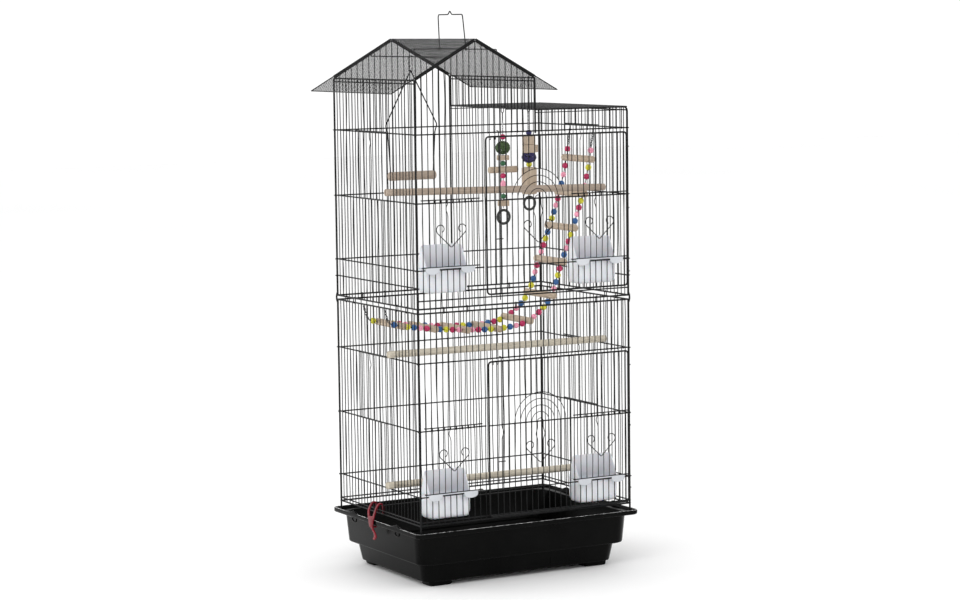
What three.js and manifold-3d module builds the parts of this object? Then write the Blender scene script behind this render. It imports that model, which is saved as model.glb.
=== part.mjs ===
// Tall wire bird cage: two stacked wire sections on a deep plastic tray, a gabled mesh roof over
// the left part, a flat wire top over the right part, doors, feeders, perches, a swing, two hanging
// toys and a bead bridge. Millimetres, +Z up, front at -Y, standing on the floor at z = 0.
import * as THREE from "three";
import { mergeVertices } from "three/addons/utils/BufferGeometryUtils.js";
import Module from "manifold-3d";

const wasm = await Module();
wasm.setup();

// ---- driving dimensions ---------------------------------------------------------------------
const WIDTH = 440;                       // corner post to corner post, along X
const DEPTH = 320;                       // corner post to corner post, along Y
const BAYS_X = 36;
const BAYS_Y = 26;
const PITCH_X = WIDTH / BAYS_X;
const PITCH_Y = DEPTH / BAYS_Y;
const LEFT = -WIDTH / 2;
const RIGHT = WIDTH / 2;
const FRONT = -DEPTH / 2;
const BACK = DEPTH / 2;

const WIRE_R = 1.2;                      // circumradius of the three-sided wire section
const THIN_WIRE_R = 0.95;                // the same in the sliding doors
const RAIL = 2.6;                        // square section of rails
const POST = 3.2;                        // square section of corner posts and door frames
const GAP = 0.3;                         // clearance between pieces that touch
const LAYER = RAIL / 2 + GAP + POST / 2; // from the wall plane out to the door plane
const INNER_RAIL = WIRE_R + GAP + 1;     // from the wall plane in to the welded mid rails
const EDGE = 2.8;                        // square section of a panel's edge wires
const PAST_WIRE = 1.7;                   // short rails end this far past their last wire
const END_WIRE = POST / 2 + GAP + 3;     // side panels stop this far short of the corner post

const SHELF = 100;                       // ledge of the tray that the posts stand on
const RIM_TOP = 106;
const SEAM = 503;                        // where the upper section stands on the lower one
const FLAT_TOP = 854;
const EAVE = 911;
const APEX = 979;
const FEEDER_BAY = 119;                  // height of a feeder opening, sill to head
const SIDE_BAY = 121.5;                  // height of a side door opening, head to ring
const DOOR_HEIGHT = 282;
const SECTIONS = {
  lower: { base: 118, sill: 169, door: 122, top: SEAM - 4 },
  upper: { base: SEAM + 4, sill: 575, door: 526, top: FLAT_TOP },
};
const GUARD_FRONT = 521;                 // extra rail under the upper main door
const GUARD_SIDE = 544;                  // extra rail on the upper side walls

const STEP_BAY = 20;                     // the roof covers bays 0 to 20, the flat top the rest
const COLUMN_BAY = 11;                   // the fixed column left of the main doors ends here
const FEEDER_BAYS = [1, 10];             // feeder opening in the fixed column
const SIDE_DOOR_BAYS = { lower: [10, 19], upper: [9, 18] };
const FRAME_LEFT = -80;                  // main door frame
const FRAME_RIGHT = 216;
const DOOR_FEEDER = [99, 209];           // feeder opening in a main door
const DOOR_PITCH = 12;
const ARC_X = 27;                        // middle of the arcs in a main door

const EAVE_OUT = 47;                     // roof overhang past the wall
const SHEET = 1.2;
const SHEET_LIFT = 3.6;                  // roof sheets lie this far above the rafters

// ---- looks -------------------------------------------------------------------------------------
const look = (color, roughness, metalness) => new THREE.MeshStandardMaterial({ color, roughness, metalness });
const WIRE_LOOK = look(0x101112, 0.42, 0.4);
const TRAY_LOOK = look(0x0b0c0c, 0.25, 0);
const WOOD_LOOK = look(0xb7a08c, 0.75, 0);
const CUP_LOOK = look(0xdfe3ea, 0.35, 0);
const RED_LOOK = look(0xb3131f, 0.35, 0);
const BEAD_LOOK = look(0xc2255c, 0.3, 0);
const GREEN_LOOK = look(0x2f4a25, 0.7, 0);
const NAVY_LOOK = look(0x1c1a4a, 0.7, 0);
const RING_LOOK = look(0x191c1a, 0.4, 0);

// ---- solids ------------------------------------------------------------------------------------
const UP = new THREE.Vector3(0, 0, 1);
const cage = new THREE.Group();

function solid(geometry) {
  geometry.deleteAttribute("normal");
  geometry.deleteAttribute("uv");
  const merged = mergeVertices(geometry, 1e-4);
  const vertProperties = new Float32Array(merged.attributes.position.array);
  const triVerts = new Uint32Array(merged.index.array);
  return new wasm.Manifold(new wasm.Mesh({ numProp: 3, vertProperties, triVerts }));
}

function node(name, body, material) {
  const { vertProperties, triVerts } = body.getMesh();
  const geometry = new THREE.BufferGeometry();
  geometry.setAttribute("position", new THREE.BufferAttribute(vertProperties, 3));
  geometry.setIndex(new THREE.BufferAttribute(triVerts, 1));
  const mesh = new THREE.Mesh(geometry, material);
  mesh.name = name;
  cage.add(mesh);
}

const joined = (bodies) => bodies.reduce((whole, body) => whole.add(body));

function along(geometry, from, to) {
  const a = new THREE.Vector3(...from);
  const b = new THREE.Vector3(...to);
  geometry.applyQuaternion(new THREE.Quaternion().setFromUnitVectors(UP, b.clone().sub(a).normalize()));
  geometry.translate(...a.add(b).multiplyScalar(0.5).toArray());
  return solid(geometry);
}

const span = (from, to) => new THREE.Vector3(...from).distanceTo(new THREE.Vector3(...to));

// A square bar, centre line from one point to the other.
const bar = (from, to, size = RAIL) => along(new THREE.BoxGeometry(size, size, span(from, to)), from, to);

// A thin wire of three sides.
function wire(from, to, radius = WIRE_R) {
  const geometry = new THREE.CylinderGeometry(radius, radius, span(from, to), 3);
  geometry.rotateX(Math.PI / 2);
  return along(geometry, from, to);
}

function box(low, high) {
  const size = low.map((value, i) => high[i] - value);
  const geometry = new THREE.BoxGeometry(...size);
  geometry.translate(...low.map((value, i) => (value + high[i]) / 2));
  return solid(geometry);
}

function rod(from, to, radius, sides = 8) {
  const geometry = new THREE.CylinderGeometry(radius, radius, span(from, to), sides);
  geometry.rotateX(Math.PI / 2);
  return along(geometry, from, to);
}

// A solid skin over rings of points: each ring has the same count, and the two end rings are capped.
function skin(rings) {
  const count = rings[0].length;
  const points = rings.flat();
  const faces = [];
  for (let r = 0; r + 1 < rings.length; r += 1) {
    for (let i = 0; i < count; i += 1) {
      const a = r * count + i;
      const b = r * count + ((i + 1) % count);
      faces.push(a, b, b + count, a, b + count, a + count);
    }
  }
  const last = (rings.length - 1) * count;
  for (let i = 1; i + 1 < count; i += 1) {
    faces.push(0, i + 1, i);
    faces.push(last, last + i, last + i + 1);
  }
  const geometry = new THREE.BufferGeometry();
  geometry.setAttribute("position", new THREE.Float32BufferAttribute(points.flat(), 3));
  geometry.setIndex(faces);
  return solid(geometry);
}

// A tube of a few sides along a list of points, with its own radius at each point.
function sweep(path, radii, sides = 4, phase = Math.PI / 4) {
  const points = path.map((p) => new THREE.Vector3(...p));
  const rings = points.map((point, i) => {
    const before = points[Math.max(i - 1, 0)];
    const after = points[Math.min(i + 1, points.length - 1)];
    const ahead = after.clone().sub(before).normalize();
    const side = sideways(ahead);
    const up = ahead.clone().cross(side);
    const radius = Array.isArray(radii) ? radii[i] : radii;
    return Array.from({ length: sides }, (_, k) => {
      const angle = phase + (k * 2 * Math.PI) / sides;
      const offset = side.clone().multiplyScalar(radius * Math.cos(angle));
      return point.clone().add(offset).addScaledVector(up, radius * Math.sin(angle)).toArray();
    });
  });
  return skin(rings);
}

// Sideways is along Y for a path in an XZ plane, and along X for a path that runs along Y.
function sideways(ahead) {
  const axis = Math.abs(ahead.y) < 0.8 ? new THREE.Vector3(0, 1, 0) : new THREE.Vector3(1, 0, 0);
  return axis.addScaledVector(ahead, -axis.dot(ahead)).normalize();
}

const range = (from, to) => Array.from({ length: to - from + 1 }, (_, i) => from + i);
const bayX = (bay) => LEFT + bay * PITCH_X;
const bayY = (bay) => FRONT + bay * PITCH_Y;
const head = (section) => section.sill + FEEDER_BAY;
const ring = (section) => head(section) + SIDE_BAY;

// Height of the wall's top edge over a bay of the front and back walls.
function wallTop(bay) {
  const half = STEP_BAY / 2;
  if (bay > STEP_BAY) return FLAT_TOP;
  return APEX - ((APEX - EAVE) * Math.abs(bay - half)) / half;
}

// ---- front and back walls ----------------------------------------------------------------------
function wallFrame(section, y, isUpper) {
  const foot = isUpper ? section.base : SHELF + GAP;
  const leftTop = isUpper ? EAVE : section.top;
  const parts = [
    bar([LEFT, y, foot], [LEFT, y, leftTop], POST),
    bar([RIGHT, y, foot], [RIGHT, y, section.top], POST),
    bar([LEFT, y, section.base], [RIGHT, y, section.base]),
  ];
  if (!isUpper) return [...parts, bar([LEFT, y, section.top], [RIGHT, y, section.top])];
  const step = bayX(STEP_BAY);
  const ridge = bayX(STEP_BAY / 2);
  return [
    ...parts,
    bar([LEFT, y, EAVE], [ridge, y, APEX]),
    bar([ridge, y, APEX], [step, y, EAVE]),
    bar([step, y, ring(section)], [step, y, EAVE]),
    bar([step, y, FLAT_TOP], [RIGHT, y, FLAT_TOP]),
  ];
}

function topOf(section, bay, isUpper) {
  return isUpper ? wallTop(bay) : section.top;
}

function frontWall(name) {
  const section = SECTIONS[name];
  const isUpper = name === "upper";
  const parts = wallFrame(section, FRONT, isUpper);
  const columnEnd = bayX(COLUMN_BAY) + PAST_WIRE;
  parts.push(bar([LEFT, FRONT, section.sill], [columnEnd, FRONT, section.sill]));
  parts.push(bar([LEFT, FRONT, head(section)], [columnEnd, FRONT, head(section)]));
  parts.push(bar([LEFT, FRONT, ring(section)], [RIGHT, FRONT, ring(section)]));
  for (const bay of range(1, BAYS_X - 1)) {
    const x = bayX(bay);
    const top = topOf(section, bay, isUpper);
    const inFeeder = bay > FEEDER_BAYS[0] && bay < FEEDER_BAYS[1];
    if (isUpper && bay === STEP_BAY) continue;
    if (bay > COLUMN_BAY) {
      parts.push(wire([x, FRONT, ring(section)], [x, FRONT, top]));
    } else if (inFeeder) {
      parts.push(wire([x, FRONT, section.base], [x, FRONT, section.sill]));
      parts.push(wire([x, FRONT, head(section)], [x, FRONT, top]));
    } else {
      parts.push(wire([x, FRONT, section.base], [x, FRONT, top]));
    }
  }
  if (isUpper) {
    const y = FRONT + INNER_RAIL;
    parts.push(bar([LEFT, y, GUARD_FRONT], [RIGHT, y, GUARD_FRONT], 2));
  }
  node(`${name}_front_panel`, joined(parts), WIRE_LOOK);
}

function backWall(name) {
  const section = SECTIONS[name];
  const isUpper = name === "upper";
  const parts = wallFrame(section, BACK, isUpper);
  const inner = BACK - INNER_RAIL;
  for (const z of [section.sill, head(section), ring(section)]) {
    parts.push(bar([LEFT, inner, z], [RIGHT, inner, z], 2));
  }
  for (const bay of range(1, BAYS_X - 1)) {
    if (isUpper && bay === STEP_BAY) continue;
    parts.push(wire([bayX(bay), BACK, section.base], [bayX(bay), BACK, topOf(section, bay, isUpper)]));
  }
  if (isUpper) parts.push(bar([bayX(STEP_BAY), BACK, section.base], [bayX(STEP_BAY), BACK, ring(section)], 2));
  node(`${name}_back_panel`, joined(parts), WIRE_LOOK);
}

// ---- side walls --------------------------------------------------------------------------------
function sideWall(name, x, word) {
  const section = SECTIONS[name];
  const isUpper = name === "upper";
  const low = FRONT + END_WIRE;
  const high = BACK - END_WIRE;
  const top = isUpper && x < 0 ? EAVE : section.top;
  const inner = x - Math.sign(x) * INNER_RAIL;
  const doorBays = SIDE_DOOR_BAYS[name];
  const doorLow = bayY(doorBays[0]) - PAST_WIRE;
  const doorHigh = bayY(doorBays[1]) + PAST_WIRE;
  const levels = [section.sill, head(section), ring(section)];
  if (isUpper) levels.push(GUARD_SIDE);
  const parts = [
    bar([x, low, section.base], [x, high, section.base]),
    bar([x, low, top], [x, high, top]),
    bar([x, low, section.base - 1], [x, low, top + 1], EDGE),
    bar([x, high, section.base - 1], [x, high, top + 1], EDGE),
    ...[head(section), ring(section)].map((z) => bar([x, doorLow, z], [x, doorHigh, z])),
    ...levels.map((z) => bar([inner, low, z], [inner, high, z], 2)),
    ...levels.map((z) => bar([inner, low + 0.3, z], [x, low + 0.3, z], 1.6)),
    ...levels.map((z) => bar([inner, high - 0.3, z], [x, high - 0.3, z], 1.6)),
  ];
  for (const bay of range(1, BAYS_Y - 1)) {
    const y = bayY(bay);
    if (bay > doorBays[0] && bay < doorBays[1]) {
      parts.push(wire([x, y, section.base], [x, y, head(section)]));
      parts.push(wire([x, y, ring(section)], [x, y, top]));
    } else {
      parts.push(wire([x, y, section.base], [x, y, top]));
    }
  }
  node(`${name}_${word}_panel`, joined(parts), WIRE_LOOK);
}

// ---- step wall and flat top ----------------------------------------------------------------------
const TOP_INSET = END_WIRE;              // the top panel stops short of the front and back walls

function topPanel() {
  const low = FRONT + TOP_INSET;
  const high = BACK - TOP_INSET;
  const left = bayX(STEP_BAY);
  const right = RIGHT - TOP_INSET;
  const parts = [
    bar([left, low, FLAT_TOP], [right, low, FLAT_TOP]),
    bar([left, high, FLAT_TOP], [right, high, FLAT_TOP]),
    bar([left, low - 1, FLAT_TOP], [left, high + 1, FLAT_TOP], EDGE),
    bar([right, low - 1, FLAT_TOP], [right, high + 1, FLAT_TOP], EDGE),
    bar([left, low, EAVE], [left, high, EAVE]),
    ...range(STEP_BAY + 1, BAYS_X - 1).map((bay) => wire([bayX(bay), low, FLAT_TOP], [bayX(bay), high, FLAT_TOP])),
    ...range(1, BAYS_Y - 1).map((bay) => wire([left, bayY(bay), FLAT_TOP], [left, bayY(bay), EAVE])),
  ];
  node("step_and_flat_top", joined(parts), WIRE_LOOK);
}

// ---- roof ------------------------------------------------------------------------------------------
const RIDGE_X = bayX(STEP_BAY / 2);
const HALF_SPAN = (STEP_BAY / 2) * PITCH_X;
const SLOPE = (APEX - EAVE) / HALF_SPAN;
const MID_SPAN = 0.375 * HALF_SPAN;      // the wire that the swing or the handle hangs on
const sheetZ = (out) => APEX + SHEET_LIFT - SLOPE * out;

function roofSlope(word, side) {
  const at = (out, y) => [RIDGE_X + side * out, y, sheetZ(out)];
  const low = FRONT - 1;
  const high = BACK + 1;
  const tip = HALF_SPAN + EAVE_OUT;
  const start = GAP + 1;
  const corner = (out, y, lift) => [RIDGE_X + side * out, y, sheetZ(out) + lift];
  const section = (y) => [
    corner(start, y, 0), corner(tip, y, 0), corner(tip, y, SHEET), corner(start, y, SHEET),
  ];
  const sheet = skin(side > 0 ? [section(high), section(low)] : [section(low), section(high)]);
  const edges = [
    bar(at(start + 1, low + 1), at(tip, low + 1), 2),
    bar(at(start + 1, high - 1), at(tip, high - 1), 2),
    bar(at(tip, low), at(tip, high), 2),
  ];
  node(`roof_${word}_slope`, joined([sheet, ...edges, ...midWire(side)]), WIRE_LOOK);
}

// Under the left slope the mid wire carries the swing. On the right slope it lies on top for the handle.
const MID_LIFT = { "-1": -6.5, 1: SHEET + 4.6 };
const midWireAt = (side) => [RIDGE_X + side * MID_SPAN, sheetZ(MID_SPAN) + MID_LIFT[side]];
const LEFT_WIRE = midWireAt(-1);
const RIGHT_WIRE = midWireAt(1);

function midWire(side) {
  const [x, z] = midWireAt(side);
  const end = BACK - END_WIRE;
  const sheet = sheetZ(MID_SPAN) + SHEET / 2;
  return [
    bar([x, -end, z], [x, end, z], 2),
    bar([x, -end + 1, z], [x, -end + 1, sheet], 2),
    bar([x, end - 1, z], [x, end - 1, sheet], 2),
  ];
}

// ---- carry handle ----------------------------------------------------------------------------------
const HANDLE_HALF = 50;
const HANDLE_Y = 6;
const HANDLE_RISE = 63;

function carryHandle() {
  const [x, z] = RIGHT_WIRE;
  const top = z + HANDLE_RISE;
  const eye = (y) => squareEye([x, y, z], 2.4);
  const leg = (y, bow) => [[x, y, z + 2], [x, y + bow, top - 3], [x, y + bow * 0.6, top]];
  const left = HANDLE_Y - HANDLE_HALF;
  const right = HANDLE_Y + HANDLE_HALF;
  const path = [...leg(left, -3), [x, HANDLE_Y, top + 7], ...leg(right, 3).reverse()];
  const grip = joined(path.slice(1).map((point, i) => bar(path[i], point, 2.4)));
  node("carry_handle", joined([grip, eye(left), eye(right)]), WIRE_LOOK);
}

// A square eye around a bar that runs along Y.
function squareEye([x, y, z], half) {
  const outer = box([x - half, y - 1, z - half], [x + half, y + 1, z + half]);
  const inside = half - 1;
  return outer.subtract(box([x - inside, y - 2, z - inside], [x + inside, y + 2, z + inside]));
}

// ---- main doors --------------------------------------------------------------------------------------
const DOOR_Y = FRONT - LAYER;
const FEED_Y = DOOR_Y - POST / 2 + 0.4 - GAP - WIRE_R;

// The widest of the arcs that stand on the door's upper bar.
const ARC_R = 4.5 * DOOR_PITCH;
function outerArc(z) {
  const steps = 8;
  const path = range(0, steps).map((i) => {
    const angle = (Math.PI * i) / steps;
    return [ARC_X - ARC_R * Math.cos(angle), DOOR_Y, z + ARC_R * Math.sin(angle)];
  });
  return sweep(path, 1.2);
}

// A loop of the door frame around the corner post.
function hingeLoop(z) {
  const outer = rod([RIGHT, FRONT, z], [RIGHT, FRONT, z + 3], 3.3, 12);
  return outer.subtract(rod([RIGHT, FRONT, z - 1], [RIGHT, FRONT, z + 4], 2.45, 12));
}

function mainDoor(name) {
  const section = SECTIONS[name];
  const low = section.door;
  const top = low + DOOR_HEIGHT;
  const bow = (z) => bar([FRAME_LEFT, DOOR_Y, z], [FRAME_RIGHT, DOOR_Y, z], POST);
  const side = (x) => bar([x, DOOR_Y, low], [x, DOOR_Y, top], POST);
  const upright = (x, from, to) => wire([x, DOOR_Y, from], [x, DOOR_Y, to]);
  const innerY = DOOR_Y + INNER_RAIL;
  const barZ = head(section);
  const parts = [
    bow(low), bow(top), side(FRAME_LEFT), side(FRAME_RIGHT),
    bar([FRAME_LEFT, innerY, section.sill], [FRAME_RIGHT, innerY, section.sill], 2),
    bar([ARC_X - 6.5 * DOOR_PITCH, DOOR_Y, barZ], [FRAME_RIGHT, DOOR_Y, barZ]),
    bar([DOOR_FEEDER[0], DOOR_Y, section.sill], [FRAME_RIGHT, DOOR_Y, section.sill]),
    outerArc(barZ),
    ...[low + 24, low + DOOR_HEIGHT / 2, top - 28].map(hingeLoop),
  ];
  for (const n of range(0, 4)) {
    const reach = (n + 0.5) * DOOR_PITCH;
    for (const x of [ARC_X - reach, ARC_X + reach]) {
      parts.push(upright(x, low, barZ));
      if (reach < ARC_R) parts.push(upright(x, barZ + Math.sqrt(ARC_R ** 2 - reach ** 2) - 1, top));
    }
  }
  for (const x of [ARC_X - 5.5 * DOOR_PITCH, ARC_X - 6.5 * DOOR_PITCH, ARC_X - 7.5 * DOOR_PITCH]) {
    parts.push(upright(x, low, top));
  }
  for (const x of [ARC_X + 63, ...DOOR_FEEDER]) parts.push(upright(x, low, top));
  for (const n of range(1, 8)) {
    const x = DOOR_FEEDER[0] + n * PITCH_X;
    parts.push(upright(x, low, section.sill), upright(x, barZ, top));
  }
  node(`${name}_main_door`, joined(parts), WIRE_LOOK);
}

// The drop bolt hangs in front of the door, and its hook lies over the ring above it.
const BOLT_X = -55;
function doorBolt(name) {
  const section = SECTIONS[name];
  const y = FEED_Y;
  const hook = ring(section) + RAIL / 2 + GAP + 1;
  const foot = name === "upper" ? section.door - 11 : section.door + 50;
  const grip = section.door + (name === "upper" ? 99 : 100);
  const parts = [
    bar([BOLT_X, y, foot], [BOLT_X, y, hook + 1], 1.8),
    bar([BOLT_X, y - 0.9, hook], [BOLT_X, FRONT + 1, hook], 1.8),
    bar([BOLT_X - 8, y, grip], [BOLT_X + 7, y, grip], 1.8),
  ];
  node(`${name}_door_bolt`, joined(parts), WIRE_LOOK);
}

// ---- feeder doors: guillotine doors that slide up ------------------------------------------------------
const FEED_BAR = 2;
function feederDoor(name, word, centre, y) {
  const section = SECTIONS[name];
  const low = section.sill + 5.2;
  const top = head(section) + 3;
  const reach = 59;
  const parts = [
    bar([centre - reach, y, low], [centre + reach, y, low], FEED_BAR),
    bar([centre - reach, y, top], [centre + reach, y, top], FEED_BAR),
    ...range(1, 8).map((n) => {
      const x = centre + (n - 4.5) * PITCH_X;
      return wire([x, y, low], [x, y, top], THIN_WIRE_R);
    }),
  ];
  node(`${name}_${word}_feeder_door`, joined(parts), WIRE_LOOK);
}

// ---- side doors ----------------------------------------------------------------------------------------
function sideDoor(name, x, word) {
  const section = SECTIONS[name];
  const low = head(section) + 1;
  const top = ring(section) + 2;
  const out = x + Math.sign(x) * LAYER;
  const [first, last] = SIDE_DOOR_BAYS[name];
  const ends = [bayY(first) - 3, bayY(last) + 3];
  const parts = [
    bar([out, ends[0], low], [out, ends[1], low], 2.2),
    bar([out, ends[0], top], [out, ends[1], top], 2.2),
    ...range(first + 1, last - 1).map((bay) => wire([out, bayY(bay), low], [out, bayY(bay), top], THIN_WIRE_R)),
  ];
  node(`${name}_${word}_side_door`, joined(parts), WIRE_LOOK);
}

// ---- tray ------------------------------------------------------------------------------------------------
// A rounded rectangle ring of points at one height.
function roundRect(halfX, halfY, z, radius, centre = [0, 0], steps = 3) {
  const corners = [[1, 1], [-1, 1], [-1, -1], [1, -1]];
  return corners.flatMap(([sx, sy], quarter) =>
    range(0, steps).map((i) => {
      const angle = (Math.PI / 2) * (quarter + i / steps);
      const x = sx * (halfX - radius) + radius * Math.cos(angle);
      const y = sy * (halfY - radius) + radius * Math.sin(angle);
      return [centre[0] + x, centre[1] + y, z];
    }));
}

const TRAY_FLOOR = 9;
const STEP_Z = 44;
function baseTray() {
  const profile = [
    [197.5, 136.5, TRAY_FLOOR, 22],
    [204, 143, STEP_Z - 1, 24],
    [216.5, 155.5, STEP_Z, 26],
    [221, 161, SHELF - 4, 28],
    [230.5, 170.5, SHELF - 3, 11],
    [233.5, 173, SHELF - 1, 12],
    [233.5, 173, RIM_TOP, 12],
    [230.5, 170, RIM_TOP, 9],
    [229.5, 169, SHELF, 8],
    [216, 156, SHELF, 24],
    [213.5, 152.5, STEP_Z + 3, 24],
    [201, 140, STEP_Z + 2, 22],
    [195.5, 134.5, TRAY_FLOOR + 3, 20],
  ];
  const shell = skin(profile.map(([hx, hy, z, r]) => roundRect(hx, hy, z, r)));
  const feet = [[1, 1], [-1, 1], [-1, -1], [1, -1]].map(([sx, sy]) => {
    const centre = [sx * 164, sy * 112];
    return skin([roundRect(22, 17, 0, 5, centre, 2), roundRect(24, 19, TRAY_FLOOR + 1, 6, centre, 2)]);
  });
  node("base_tray", joined([shell, ...feet]), TRAY_LOOK);
}

// ---- tray clips: red hooks over the bottom rail that grip under the rim -----------------------------------
const CLIP_BAYS = [12.5, 14.5];          // the claws pass between the side wires
const CLIP_OUT = 237.4;
const CLAW_TOP = 138;
const TAIL_OUT = 239;
const TAIL_TIP_R = 2.2;
function trayClip(word, side) {
  const rail = SECTIONS.lower.base;
  const at = (x, y, z) => [side * x, y, z];
  const slab = (x0, x1, y0, y1, z0, z1) => {
    const xs = [side * x0, side * x1].sort((a, b) => a - b);
    return box([xs[0], y0, z0], [xs[1], y1, z1]);
  };
  const clearX = RAIL / 2 + 0.7;
  const claws = CLIP_BAYS.flatMap((bay) => {
    const y = bayY(bay);
    return [
      slab(RIGHT - clearX - 2, CLIP_OUT, y - 2.5, y + 2.5, CLAW_TOP - 3, CLAW_TOP),
      slab(RIGHT - clearX - 2, RIGHT - clearX, y - 2.5, y + 2.5, rail - 2, CLAW_TOP - 1),
      slab(CLIP_OUT - 3, CLIP_OUT, y - 2.5, y + 2.5, SHELF + 4, CLAW_TOP - 1),
    ];
  });
  const low = bayY(CLIP_BAYS[0]) - 2.5;
  const high = bayY(CLIP_BAYS[1]) + 2.5;
  const middle = (low + high) / 2;
  const plate = slab(CLIP_OUT - 2.6, CLIP_OUT, low, high, SHELF - 8, SHELF + 8);
  const lip = slab(RIGHT + 6, CLIP_OUT - 1, low + 4, high - 4, SHELF - 8, SHELF - 5.4);
  const tail = sweep([at(236.4, middle, SHELF), at(236.6, middle, SHELF - 11), at(238.2, middle, SHELF - 23),
    at(TAIL_OUT, middle, SHELF - 31)], [3.2, 3.2, 2.8, TAIL_TIP_R]);
  node(`tray_clip_${word}`, joined([...claws, plate, lip, tail]), RED_LOOK);
}

// ---- feeder cups ---------------------------------------------------------------------------------------------
// A bowl behind the feeder opening, a tall hood at its back, and two tabs over the sill.
const CUP_HALF = 41.5;
const CUP_DEPTH = 44.5;
const HOOD_LEAN = 13;
function feederCup(name, word, centre, wallY, doorY) {
  const section = SECTIONS[name];
  const sill = section.sill;
  const front = wallY + 3.9;
  const half = CUP_HALF;
  const depth = CUP_DEPTH;
  const middle = [centre, front + depth / 2];
  const outer = (reach, z, dy) => roundRect(reach, dy, z, 8, middle, 1);
  const bowl = skin([
    outer(half - 5, sill - 42, depth / 2 - 5), outer(half, sill - 31, depth / 2),
    outer(half, sill + 3, depth / 2), outer(half - 2, sill + 3, depth / 2 - 2),
    outer(half - 2.5, sill - 30, depth / 2 - 2.4), outer(half - 7, sill - 39, depth / 2 - 7),
  ]);
  const back = front + depth;
  const hoodAt = (y, z) => [[centre - half, y - 2.4, z], [centre + half, y - 2.4, z],
    [centre + half, y, z], [centre - half, y, z]];
  const hood = skin([hoodAt(back, sill + 1), hoodAt(back - HOOD_LEAN, sill + 43)]);
  const cheek = (side) => {
    const x = [centre + side * half, centre + side * (half - 2.4)].sort((a, b) => a - b);
    const ringAt = (z, from, to) => [[x[0], from, z], [x[1], from, z], [x[1], to, z], [x[0], to, z]];
    const top = back - HOOD_LEAN;
    return skin([ringAt(sill + 1, front + 4, back - 1), ringAt(sill + 40, top - 4, top - 0.5)]);
  };
  const outY = doorY - FEED_BAR / 2 - GAP;
  const tabs = [-36, 36].map((offset) => {
    const x = centre + offset;
    const bridge = box([x - 6, outY - 0.5, sill + 1.6], [x + 6, front + 1, sill + 3.4]);
    const lobe = box([x - 15, outY - 1.2, sill - 8], [x + 15, outY, sill + 5]);
    return bridge.add(lobe);
  });
  node(`${name}_${word}_feeder_cup`, joined([bowl, hood, cheek(1), cheek(-1), ...tabs]), CUP_LOOK);
}

// ---- perches -------------------------------------------------------------------------------------------------
const PERCH_R = 6.5;
const UPPER_PERCH_TILT = 8;              // its left end is wedged this far above the rail
const PERCH_END = { left: 10, right: 3 };
function perch(name, level, bays, tilt = 0) {
  const z = level + RAIL / 2 + GAP + PERCH_R;
  const left = new THREE.Vector3(LEFT, bayY(bays[0]), z + tilt);
  const right = new THREE.Vector3(RIGHT, bayY(bays[1]), z);
  const ahead = right.clone().sub(left).normalize();
  const from = left.clone().addScaledVector(ahead, -PERCH_END.left).toArray();
  const to = right.clone().addScaledVector(ahead, PERCH_END.right).toArray();
  const slot = (p) => box([p.x - 20, p.y - 2, p.z - 11], [p.x + 20, p.y + 2, p.z + 11]);
  node(name, rod(from, to, PERCH_R, 12).subtract(slot(left)).subtract(slot(right)), WOOD_LOOK);
}

// ---- swing -----------------------------------------------------------------------------------------------------
const SWING_Y = -1;
const SWING_DROP = 216;
const SWING_HALF = 53;
const SWING_LINK = 29;                   // from the mid wire down to the link's foot
function swing() {
  const [x, z] = LEFT_WIRE;
  const pivot = z - SWING_LINK;
  const linkTop = z + 1 + GAP + 1;
  const link = joined([
    bar([x - 4, SWING_Y, linkTop], [x + 4, SWING_Y, linkTop], 1.8),
    bar([x - 3.4, SWING_Y, linkTop], [x - 3.4, SWING_Y, pivot + 2], 1.8),
    bar([x + 3.4, SWING_Y, linkTop], [x + 3.4, SWING_Y, pivot + 2], 1.8),
    bar([x - 4, SWING_Y, pivot + 2], [x + 4, SWING_Y, pivot + 2], 1.8),
  ]);
  node("swing_hook", link, WIRE_LOOK);
  const low = z - SWING_DROP;
  const eye = pivot + 3.9 + GAP;
  const loop = joined([
    bar([x, SWING_Y - 3, eye], [x, SWING_Y + 3, eye], 1.8),
    bar([x, SWING_Y - 3, eye], [x, SWING_Y - 3, pivot - 3], 1.8),
    bar([x, SWING_Y + 3, eye], [x, SWING_Y + 3, pivot - 3], 1.8),
    bar([x, SWING_Y - 4, pivot - 3], [x, SWING_Y + 4, pivot - 3], 1.8),
  ]);
  const arm = (side) => {
    const path = [[0, pivot - 3], [SWING_HALF, low + 92], [SWING_HALF - 4, low + 80], [SWING_HALF - 9, low + 9]];
    const points = path.map(([u, v]) => [x + side * u, SWING_Y, v]);
    return joined(points.slice(1).map((point, i) => bar(points[i], point, 2.2)));
  };
  node("swing_wire", joined([loop, arm(1), arm(-1)]), WIRE_LOOK);
  const half = SWING_HALF - 6;
  const seat = rod([x - half, SWING_Y, low], [x + half, SWING_Y, low], 8);
  const hole = (side) => box([x + side * (SWING_HALF - 9) - 2.2, SWING_Y - 2, low + 2],
    [x + side * (SWING_HALF - 9) + 2.2, SWING_Y + 2, low + 9]);
  node("swing_seat", seat.subtract(hole(1)).subtract(hole(-1)), WOOD_LOOK);
}

// ---- hanging toys -----------------------------------------------------------------------------------------------
const HOLE = 1.5;
const STEM = 1.4;

// A turned piece with a hole down its middle: pairs of radius and height from its lower end up.
function turned(x, y, z, outline, sides = 8) {
  const points = [[HOLE, outline[0][1]], ...outline, [HOLE, outline[outline.length - 1][1]], [HOLE, outline[0][1]]];
  const geometry = new THREE.LatheGeometry(points.map(([r, v]) => new THREE.Vector2(r, v)), sides);
  geometry.rotateX(Math.PI / 2);
  geometry.translate(x, y, z);
  return solid(geometry);
}

const ball = (x, y, z, r) => turned(x, y, z, [[r * 0.45, -r * 0.9], [r * 0.9, -r * 0.45], [r, 0],
  [r * 0.9, r * 0.45], [r * 0.45, r * 0.9]]);

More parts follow.
